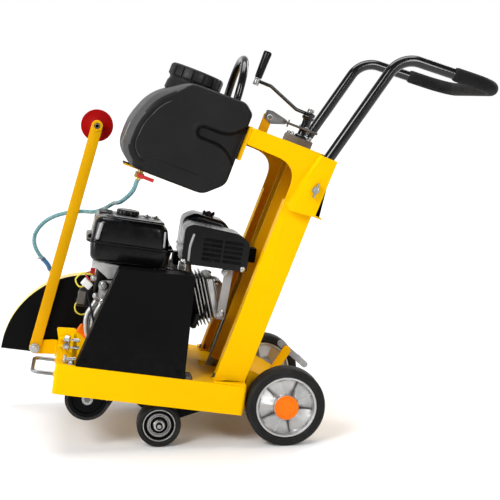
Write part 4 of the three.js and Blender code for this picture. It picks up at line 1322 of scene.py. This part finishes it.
def add_muffler():
    refine("muffler_guard", GLOSS_PLASTIC, 3.2, 4, 40)
    trim = Piece("muffler_guard_trim", "chassis")
    for x0, x1 in LOUVRES["columns"]:
        for row in range(LOUVRES["rows"]):
            z = LOUVRES["first"] + LOUVRES["pitch"] * row
            hood = slab([(-4.2, -0.6), (-3.2, -0.8), (0.8, 4.6), (0.8, 6.4), (-0.8, 6.2)], -x1 - 1, 1 - x0)
            trim.add(hood, GLOSS_PLASTIC, shift(0, GUARD_FACE, z) @ turn(math.pi / 2, "Z"))
    trim.add(block((-252, -152), (-112, -110), (378, 446)), BLACK_SATIN)
    path = [(-276, GUARD_FACE - 0.4, 380), (-277, GUARD_FACE - 0.8, 412), (-272, GUARD_FACE - 0.2, 440)]
    trim.add(tube(through(path, 6), 2.6, 14, "round"), GREY_PLASTIC)
    strip = slab([(-184.6, 374), (-188.6, 249.4), (-169.4, 249.4), (-165.4, 374)], -84.6, -79.4)
    trim.add(strip, GREY_PLASTIC)
    for x, z in ((-288, 376), (-150, 376)):
        bolt(trim, shift(x, GUARD_FACE, z) @ TO_NEAR, 8, 4)
    trim.done(crease=40, slot="black_plastic")

    drum = Piece("muffler_fine", "chassis")
    profile = [
        (0, -284), (24, -284), (29, -280), (30, -276), (30, -238), (30.9, -236), (30.9, -228), (30, -226)
    ]
    profile += [
        (30, -188), (29, -184), (24, -180), (11, -180), (11, -128), (9.2, -128), (9.2, -146), (0, -146)
    ]
    drum.add(revolve(profile, 56), DARK_STEEL, shift(0, -70, 412) @ TO_X)
    drum.add(
        tube(through([(-262, -62, 398), (-272, -46, 372), (-262, -30, 330), (-236, -22, 290)], 8), 12, 24),
        DARK_STEEL
    )
    drum.add(soft_box((-138, -120), (-92, -58), (391, 424), 5, 2, 2), BLACK_SATIN)
    drum.done(crease=38, replaces=("muffler",))


def add_air_cleaner():
    face = outline(
        [(-288, 372, 8), (-166, 372, 8), (-166, 440, 22), (-190, 466, 26), (-262, 477, 30), (-288, 462, 18)],
        8
    )
    box = Piece("air_cleaner_fine", "chassis")
    box.add(pillow(face, 4, 100, 11, 7), GLOSS_PLASTIC)
    box.add(soft_box((-290, -164), (2, 102), (391, 396), 10, 2, 2), GLOSS_PLASTIC)
    for x in (-262, -238, -214, -190):
        rib = soft_box((x - 4, x + 4), (1.5, 20), (400, 448), 2, 2, 2)
        box.add(rib, GLOSS_PLASTIC)
    box.done(crease=42, replaces=("air_cleaner",))
    nut = Piece("air_cleaner_nut", "chassis")
    place = shift(-226, 52, 470.5)
    nut.add(
        revolve([(0, -3), (12, -3), (12, 1), (8, 4), (6.4, 10), (3, 11.4), (0, 11.4)], 32), BLACK_PLASTIC,
        place
    )
    for angle in (0, math.pi / 3, 2 * math.pi / 3):
        wing = slab([(-15, 2), (15, 2), (16, 9), (13, 12), (8, 7), (-8, 7), (-13, 12), (-16, 9)], -1.5, 1.5)
        nut.add(moved(wing, turn(angle + 0.3, "Z")), BLACK_PLASTIC, place)
    nut.done(0.5, slot="black_plastic")


def add_carburettor():
    carb = Piece("carburettor_fine", "chassis")
    carb.add(soft_box((-322, -266), (72, 95), (316, 350), 5, 4, 3), CAST)
    carb.add(
        revolve([(0, 300), (10, 300), (12, 304), (12, 314), (13.4, 314), (13.4, 317), (0, 317)], 36), ZINC,
        shift(-296, 84, 0)
    )
    carb.add(revolve([(0, 296), (5, 296), (5, 301), (0, 301)], 6), ZINC, shift(-296, 84, 0))
    carb.add(
        revolve([(0, 340), (15.6, 340), (16, 346), (16, 371), (0, 371)], 40), BLACK_PLASTIC,
        shift(-280, 83.5, 0)
    )
    carb.add(soft_box((-332, -322), (66, 93), (306, 348), 4, 2, 2), BLACK_PLASTIC)
    for z in (312, 342):
        bolt(carb, shift(-327, 66, z) @ TO_NEAR, 8, 3.6)
    carb.done(0.3, crease=38, replaces=("carburettor",))


# ------------------------------------------------------------------ engine: castings

CASE_OUTLINE = (
    (-452, 132, 8), (-275, 132, 8), (-275, 220, 16), (-300, 268, 12), (-430, 262, 20), (-452, 230, 14),
)
COVER_BOLTS = 7
OIL_FILLER = (Vector((-446, -75, 160)), Vector((-474, -75, 175)))


def add_engine_block():
    block_piece = Piece("engine_block_fine", "chassis")
    case = outline(CASE_OUTLINE, 6)
    block_piece.add(pillow(case, -86, 82, 9, 5), CAST)
    small = outline([(x * 0.93 - 25.4, z * 0.93 + 14, r) for x, z, r in CASE_OUTLINE], 6)
    block_piece.add(pillow(small, -96, -80, 5, 4), CAST)
    block_piece.add(pillow(small, 78, 92, 5, 4), CAST)
    block_piece.add(soft_box((-466, -262), (-92, 90), (123.6, 133), 8, 2, 1), CAST)
    for x in (-448, -412, -340, -296):
        rib = slab([(x - 3, 131), (x + 3, 131), (x + 2, 226), (x - 2, 226)], -90, 86)
        block_piece.add(rib, CAST)
    for z in (160, 182, 204):
        block_piece.add(block((-455.5, -448), (-74, 70), (z - 2, z + 2)), CAST)
    centre = shift(ENGINE.x, -96, ENGINE.z) @ TO_NEAR
    block_piece.add(
        revolve([(0, -2), (44, -2), (44, 5), (40, 8), (24, 9), (20, 14), (0, 14)], 56), CAST, centre
    )
    for step in range(COVER_BOLTS):
        angle = 2 * math.pi * step / COVER_BOLTS + 0.4
        bolt(block_piece, centre @ turn(angle, "Z") @ shift(34, 0, 6.5), 9, 4.6)
    neck = OIL_FILLER
    block_piece.add(
        tube(
            [neck[0], neck[0].lerp(neck[1], 0.9), neck[0].lerp(neck[1], 0.9), neck[1]], [11, 11, 13, 13], 32
        ),
        CAST
    )
    block_piece.add(soft_box((-474, -332), (-66, 70), (262, 346), 12, 8, 3, (3, 12)), BLACK_SATIN)
    for z in (276, 290, 304, 318, 332):
        block_piece.add(soft_box((-462, -346), (-68.4, -60), (z, z + 5), 2, 1.6, 1.6), BLACK_SATIN)
    bracket = outline(
        [(-488, 346, 3), (-422, 340, 3), (-418, 312, 4), (-446, 306, 4), (-474, 326, 4), (-488, 330, 3)], 4
    )
    block_piece.add(pillow(bracket, -76, -68, 1.6, 3), CAST)
    bracket = outline([(-462, 300, 6), (-430, 306, 4), (-424, 262, 8), (-448, 244, 8), (-466, 262, 8)], 4)
    block_piece.add(pillow(bracket, -82, -66, 4, 4), CAST)
    for x, z, lean in ((-478, 206, 10), (-464, 200, 8)):
        rib = through(
            [(x + lean, -88, z + 48), (x - 4, -92, z + 14), (x, -92, z - 22), (x + 14, -88, z - 50)], 8
        )
        block_piece.add(tube(rib, 6.5, 18, "round"), CAST)
    block_piece.done(0.3, crease=38, replaces=("engine_block",))


def add_cylinder():
    """Barrel, cooling fins and head, drawn along the cylinder's axis."""
    barrel = Piece("cylinder_fine", "chassis", CYLINDER)
    barrel.add(soft_box((-50, 50), (-47, 47), (30, 92), 12, 6, 6), CAST, TO_X)
    barrel.add(soft_box((-48, 48), (-45, 45), (80, 158), 8, 4, 4), BLACK_SATIN, TO_X)
    for index, x in enumerate(range(84, 154, 8)):
        narrow = index % 2
        fin = soft_box(
            (-57.6 + narrow, 57.6 - narrow), (-63.6 + narrow, 63.6 - narrow), (x, x + 3), 6, 1.2, 1.2
        )
        barrel.add(fin, BLACK_SATIN if index < 5 else CAST, TO_X)
    barrel.add(soft_box((-52, 52), (-60, 60), (155, 172), 10, 4, 4), CAST, TO_X)
    for u in (-42, 42):
        for v in (-50, 50):
            bolt(barrel, TO_X @ shift(u, v, 171.6), 10, 4)
    barrel.done(0.3, crease=38, slot=SLOTS["engine_block"])


def add_valve_cover():
    cover = Piece("valve_cover_fine", "chassis", CYLINDER)
    rings = []
    for x, dy, dz, corner in (
        (172.4, 50, 40, 10), (176, 50, 40, 10), (177, 46, 36, 12), (186, 44, 34, 14), (192, 39, 29, 14),
        (195, 31, 21, 12),
        (196, 20, 12, 9),
    ):
        ring = []
        for sy, sz, start in ((1, 1, 0), (-1, 1, 90), (-1, -1, 180), (1, -1, 270)):
            for step in range(7):
                angle = math.radians(start + 15 * step)
                y = sy * (dy - corner) + corner * math.cos(angle)
                z = sz * (dz - corner) + corner * math.sin(angle)
                ring.append(Vector((x, y, z)))
        rings.append(ring)
    cover.add(loft(rings), BRIGHT_CAST)
    for y in (-40, 40):
        for z in (-30, 30):
            bolt(cover, shift(176, y, z) @ TO_X, 9, 5)
    cover.done(0.4, crease=32, replaces=("valve_cover",))


def add_recoil():
    """Fan cowl and pull starter: a stepped drum with cooling slots round its cap."""
    drum = Piece("recoil_housing_fine", "chassis")
    place = shift(ENGINE.x, 0, ENGINE.z) @ TO_Y
    profile = [
        (82, 96.4), (83, 98), (83, 122), (80, 125), (63, 126.5), (61.5, 128), (60, 131), (60, 143),
        (57, 147.5), (50, 149), (34, 149.6), (31, 146.8), (27, 146.8), (24, 150.6), (0, 151),
    ]
    drum.add(revolve(profile, 96), BLACK_SATIN, place)
    for step in range(18):
        angle = 2 * math.pi * step / 18
        slot = soft_box((35.5, 50), (-2.6, 2.6), (149, 149.9), 2.4, 0.4, 0.3, steps=4)
        drum.add(moved(slot, turn(angle, "Z")), BLACK_GLOSS, place)
    for step in range(24):
        angle = 2 * math.pi * step / 24
        rib = soft_box((59.4, 61.2), (-1.6, 1.6), (130, 143), 0.6, 0.5, 0.5, steps=2)
        drum.add(moved(rib, turn(angle, "Z")), BLACK_SATIN, place)
    for step in range(3):
        bolt(drum, place @ turn(2 * math.pi * step / 3 + 0.3, "Z") @ shift(72.5, 0, 125), 10, 4)
    drum.done(0.25, crease=34, replaces=("recoil_housing",))

    grip = Piece("starter_grip_fine", "starter_grip")
    radial = shift(ENGINE.x, 119, ENGINE.z) @ turn(math.radians(-134), "Y")
    shape = outline(
        [(84.5, -23.6, 4), (98, -23.6, 5), (96.5, 0, 20), (98, 23.6, 5), (84.5, 23.6, 4), (86, 0, 20)], 6
    )
    grip.add(pillow(shape, -7.8, 7.8, 5, 5), BLACK_PLASTIC, radial)
    grip.done(crease=45, replaces=("starter_grip",))


def add_oil_cap():
    end, start = OIL_FILLER
    axis = (start - end).normalized()
    facing = Matrix.Translation(start) @ axis.to_track_quat("Z", "Y").to_matrix().to_4x4()
    cap = Piece("oil_cap_fine", "oil_cap")
    cap.add(revolve([(0, 0.3), (13.4, 0.3), (14, 1), (14, 6), (13, 7.4), (0, 7.4)], 40), ORANGE, facing)
    cap.add(revolve([(0, 7), (12.6, 7), (11.6, 24), (9.6, 26), (0, 26)], 8), ORANGE, facing)
    cap.done(0.7, replaces=("oil_cap",))


def add_engine_fittings():
    wires = Piece("engine_wires", "chassis")
    for knots in (
        [
            (-484, -76, 312), (-506, -84, 313), (-519, -88, 298), (-509, -88, 283), (-494, -84, 287),
            (-484, -76, 300)
        ],
        [
            (-502, -84, 254), (-512, -88, 240), (-508, -90, 225), (-494, -90, 220), (-478, -88, 230),
            (-460, -84, 242)
        ],
    ):
        wires.add(tube(through(knots, 8), 1.7, 10, "round"), WIRE)
    red = [(-486, -70, 318), (-498, -76, 312), (-490, -82, 302), (-478, -84, 298)]
    wires.add(tube(through(red, 8), 1.7, 10, "round"), RED_PLASTIC)
    lead = [(-492, -88, 286), (-486, -92, 264), (-474, -96, 232), (-462, -98, 196)]
    wires.add(tube(through(lead, 8), 2.6, 12, "round"), BLACK_PLASTIC)
    wires.done(crease=60)

    parts = Piece("engine_fittings", "chassis")
    connector = moved(
        soft_box((-12, 12), (-7, 7), (-8, 8), 2, 1.5, 1.5), shift(-493, -90, 292) @ turn(0.6, "Y")
    )
    parts.add(connector, WHITE_PLASTIC)
    parts.add(rod(12, (-468, -40, 206), (-468, -84, 206), 32), BLACK_PLASTIC)
    parts.add(soft_box((-512, -482), (-92, -58), (238, 280), 7, 5, 5, (6, -4)), BLACK_PLASTIC)
    parts.add(soft_box((-510, -490), (-94, -90), (244, 274), 3, 1.5, 1.5), DARK_STEEL)
    parts.add(rod(3, (-500, -60, 280), (-494, -60, 300), 16), ZINC)
    for x, z, size in ((-455, 292, 15), (-476, 218, 12), (-480, 306, 9)):
        bolt(parts, shift(x, -86, z) @ TO_NEAR, size, 6)
    for x, z, size in (
        (-452, 256, 12), (-470, 268, 9), (-440, 232, 10), (-462, 176, 10), (-444, 150, 12), (-430, 250, 9)
    ):
        bolt(parts, shift(x, -97, z) @ TO_NEAR, size, 5)
    for x, z, size in ((-454, 250, 12), (-454, 168, 10), (-454, 214, 9)):
        bolt(parts, shift(x - 2, -60, z) @ TO_FRONT, size, 5)
    parts.add(rod(10, (-446, -80, 236), (-446, -104, 236), 32), CAST)
    parts.add(
        revolve([(0, 0), (13, 0), (13, 4), (10, 7), (0, 7)], 32), BRIGHT_CAST,
        shift(-446, -98, 236) @ TO_NEAR
    )
    plug = [(-232, -58, 236), (-216, -66, 250), (-214, -60, 276), (-236, -40, 300), (-272, -20, 320)]
    parts.add(tube(through(plug, 8), 3.4, 14, "round"), BLACK_PLASTIC)
    parts.add(tube([(-236, -62, 222), (-230, -66, 248)], [8.5, 7], 24, "round"), BLACK_PLASTIC)
    linkage = [(-330, 60, 350), (-318, -20, 352), (-304, -50, 348)]
    parts.add(tube(through(linkage, 6), 1.6, 10, "round"), ZINC)
    parts.add(soft_box((-318, -282), (-88, -28), (342, 350), 5, 2, 2), BLACK_SATIN)
    for x, y in ((-310, -80), (-290, -60), (-306, -44)):
        bolt(parts, shift(x, y, 350), 9, 5)
    for x in (-448, -282):
        for y in (-80, 78):
            bolt(parts, shift(x, y, 133), 13, 7)
    for x, z in ((-184, 360), (-180, 262)):
        bolt(parts, shift(x, -84, z) @ TO_NEAR, 12, 5)
    parts.add(soft_box((-296, -276), (-100, -92), (352, 374), 4, 2, 2), ZINC)
    parts.done(0.4)


add_fuel_tank()
add_muffler()
add_air_cleaner()
add_carburettor()
add_engine_block()
add_cylinder()
add_valve_cover()
add_recoil()
add_oil_cap()
add_engine_fittings()

# ------------------------------------------------------------------ blade guard and drive

RIM_STRIP = paint("rim_strip", (0.88, 0.66, 0.06), 0.34, (0.8, 0.55, 0.02))


def add_blade_guard():
    radius = 217
    sill = 2 / radius
    arc = [
        (SPINDLE.x + radius * math.cos(a), SPINDLE.z + radius * math.sin(a))
        for a in [sill + (math.pi - 2 * sill) * k / 96 for k in range(97)]
    ]
    guard = Piece("blade_guard_fine", "chassis")
    guard.add(pillow(arc, 198, 246, 2.6, 4), BLACK_SATIN)
    inner = [
        (SPINDLE.x + (radius - 3) * math.cos(a), SPINDLE.z + (radius - 3) * math.sin(a))
        for a in [math.pi * k / 96 for k in range(97)]
    ]
    inner += [(SPINDLE.x - radius + 3, 20), (SPINDLE.x + radius - 3, 20)]
    hollow = solid_mesh(slab(inner, 201, 243), CHASSIS, BLACK_SATIN)
    hub_slot = bar_outline((SPINDLE.x, SPINDLE.z - 40), 33, (SPINDLE.x, SPINDLE.z), 33, 20)
    notch = solid_mesh(slab(hub_slot, 190, 203), CHASSIS, BLACK_SATIN)
    guard.done(0.4, crease=38, replaces=("blade_guard",), carve=(hollow, notch))

    strip = Piece("blade_guard_strip", "chassis")
    band = []
    for k in range(65):
        a = math.radians(22 + (172 - 22) * k / 64)
        outer, under = radius + 0.5, radius - 1
        band.append([
            Vector((SPINDLE.x + r * math.cos(a), y, SPINDLE.z + r * math.sin(a)))
            for r, y in ((under, 201), (outer, 201), (outer, 243), (under, 243))
        ])
    strip.add(loft(band), RIM_STRIP)
    strip.done(0.2, crease=30, slot="yellow_paint")

    fittings = Piece("blade_guard_fittings", "chassis")
    fittings.add(soft_box((-424, -336), (190.3, 199), (64, 112), 2, 2, 2), BLACK_SATIN)
    for x in (-408, -352):
        bolt(fittings, shift(x, 201.2, 88) @ TO_Y, 13, 7)
    root = SPINDLE + Vector((0, GUARD_MIDDLE, 0))
    base = [root + NIPPLE_DIRECTION * d for d in (216, 225)]
    fittings.add(rod(8.8, base[0], base[1], 6), BRASS)
    stem = [root + NIPPLE_DIRECTION * d for d in (224, 228, 228.2, 232, 232.2, 236, 236.2, 242.5)]
    fittings.add(tube(stem, [4, 4, 4.9, 4, 4.9, 4, 4.9, 3.6], 24), BRASS)
    sleeve = hose_route()[-14:-1]
    fittings.add(tube(sleeve, HOSE_RADIUS + 0.8, 24), BLUE_PLASTIC)
    tie = sleeve[0].lerp(sleeve[1], 0.5)
    facing = Matrix.Translation(tie) @ (sleeve[1] - sleeve[0]).to_track_quat("Z", "Y").to_matrix().to_4x4()
    fittings.add(revolve([(5, -1.6), (6.6, -1.6), (6.6, 1.6), (5, 1.6)], 28, ring=True), DARK_STEEL, facing)
    fittings.add(rod(1.1, tie + Vector((5, -2, -1)), tie + Vector((-14, -4, 1)), 10), DARK_STEEL)
    fittings.done(0.4)


def groove_pulley(name, node, body, radius, centre):
    """A V-belt pulley with a webbed face and a hub."""
    pulley = Piece(name, body)
    place = shift(centre.x, -160, centre.z) @ TO_Y
    bore = 12.2
    profile = [(bore, -16), (20, -16), (22, -14), (22, -9), (radius - 9, -8), (radius - 8, -10)]
    profile += [
        (radius - 8, -12.5), (radius - 7, -13.4), (radius - 0.8, -13.4), (radius, -12.6), (radius, -10)
    ]
    profile += [(radius - 5, -5.5), (radius - 5, 5.5), (radius, 10), (radius, 12.6), (radius - 0.8, 13.4)]
    profile += [
        (radius - 7, 13.4), (radius - 8, 12.5), (radius - 8, 10), (radius - 9, 8), (22, 9), (22, 14),
        (20, 16)
    ]
    profile += [(bore, 16)]
    pulley.add(revolve(profile, 72, ring=True), BLACK_SATIN, place)
    pulley.done(0.3, crease=30, replaces=(node,))


def add_drive():
    groove_pulley("drive_pulley_fine", "drive_pulley", "crankshaft", 35, ENGINE)
    groove_pulley("driven_pulley_fine", "driven_pulley", "blade_shaft", 43, SPINDLE)
    refine("drive_belt", BELT, 0.8, 2, 40)
    ends = Piece("blade_shaft_nut", "blade_shaft")
    ends.add(
        revolve([(0, 0), (11, 0), (11, 2), (9.6, 3.4), (0, 3.4)], 36), AMBER,
        shift(SPINDLE.x, -176, SPINDLE.z) @ TO_NEAR
    )
    ends.add(hexagon(12, 5), DARK_STEEL, shift(SPINDLE.x, -179.2, SPINDLE.z) @ TO_NEAR)
    ends.done(0.4)


# ------------------------------------------------------------------ pointer and front handle

PIVOT = (-592, 67)
TIP = (-516, 639)


def add_pointer():
    arm = Piece("pointer_arm_fine", "pointer_arm")
    shape = bar_outline(PIVOT, 13.9, TIP, 13.9, 20)
    arm.add(pillow(shape, 180, 186, 1.2, 3), AMBER)
    tip = shift(TIP[0], 0, TIP[1]) @ TO_Y
    arm.add(rod(5.2, (TIP[0], 176, TIP[1]), (TIP[0], 226, TIP[1]), 28), ZINC)
    arm.done(0.2, crease=30, replaces=("pointer_arm",))

    tip_bolt = Piece("pointer_tip_bolt", "pointer_arm")
    front = shift(TIP[0], 180, TIP[1]) @ TO_NEAR
    tip_bolt.add(
        revolve([(7.6, 0), (13.6, 0), (13.6, 1.6), (12.6, 2.4), (7.6, 2.4)], 48, ring=True), AMBER, front
    )
    tip_bolt.add(revolve([(0, 0), (7.6, 0), (7.6, 1.6), (0, 1.6)], 32), DARK_STEEL, front)
    tip_bolt.add(hexagon(10, 4.0), DARK_STEEL, front)
    tip_bolt.done(0.3)

    disc = Piece("pointer_disc_fine", "pointer_disc")
    profile = [
        (5.6, 186.6), (11.6, 186.6), (12, 187.2), (12, 214), (16, 216.4), (36, 217), (39.2, 217), (40, 217.8),
        (40, 220.2), (39.2, 221), (36, 221), (14, 221), (12, 222.6), (5.6, 222.6),
    ]
    disc.add(revolve(profile, 88, ring=True), RED_PAINT, tip)
    disc.done(0.3, crease=30, replaces=("pointer_disc",))

    pivot = Piece("pointer_pivot_bolt", "chassis")
    place = shift(PIVOT[0], 175, PIVOT[1]) @ TO_NEAR
    pivot.add(revolve([(0, -1), (12.4, -1), (12.4, 0.8), (11.6, 1.6), (0, 1.6)], 40), ZINC, place)
    pivot.add(hexagon(15, 7), ZINC, place @ turn(0.2, "Z"))
    pivot.done(0.5)


def add_front_handle():
    x0, reach, z, y = -537.3, -587.5, 70, 67.5
    corners = [(x0, -y, z), (reach, -y, z), (reach, y, z), (x0, y, z)]
    handle = Piece("front_handle_fine", "chassis")
    handle.add(tube(bent(corners, [16, 16], 10), 4.5, 24), STEEL)
    for side in (-1, 1):
        handle.add(tube(ring_path(x0 - 0.6, side * y, z, 5, 20), 1.6, 8), YELLOW)
    handle.done(crease=50, replaces=("front_handle",))


# ------------------------------------------------------------------ fasteners and welds on the frame


def add_frame_fasteners():
    deck = Piece("deck_fasteners", "chassis")
    for x in (-178, -142, -120):
        for side in (-1, 1):
            bolt(deck, shift(x, side * 150, 127.3), 13, 7, surface=DARK_STEEL)
    for x in (-246, -240):
        for y in (-178, -150):
            bolt(deck, shift(x, y, DECK), 10, 5, surface=DARK_STEEL)
    for z in (158, 175):
        place = shift(-515, -160, z) @ TO_FRONT
        bolt(deck, place, 13, 9)
        deck.add(rod(4, (-512, -160, z), (-492, -160, z), 20), ZINC)
    deck.add(rod(4.4, (-520, -172, 132), (-496, -172, 136), 20), ZINC)
    deck.add(rod(3.4, (-520, -172, 124.5), (-520, -172, 142), 18), ZINC)
    bolt(deck, shift(-506, -172, DECK), 13, 6)
    deck.done(0.4)


def add_frame_welds():
    beads = Piece("frame_welds", "chassis")
    for side in (-1, 1):
        weld(beads, (-186, side * 160.5, 127), (-112, side * 160.5, 127), YELLOW, 2)
        weld(beads, (-537, side * 140, DECK + 0.5), (-520, side * 140, DECK + 0.5), YELLOW, 2)
    weld(beads, (-109.4, -136, 122), (-109.4, 136, 122), YELLOW, 2.4)
    beads.done(crease=60, slot="yellow_paint")


def add_guard_trim():
    trim = Piece("belt_guard_trim", "chassis")
    trim.add(block((-330, -296), (-170, -158), (351.6, 354)), YELLOW)
    for x, z in ((-478, 136), (-268, 136)):
        bolt(trim, shift(x, -189, z) @ TO_NEAR, 9, 3.6, surface=BLACK_SATIN)
    trim.done(0.3)


add_blade_guard()
add_drive()
add_pointer()
add_front_handle()
add_frame_fasteners()
add_frame_welds()
add_guard_trim()
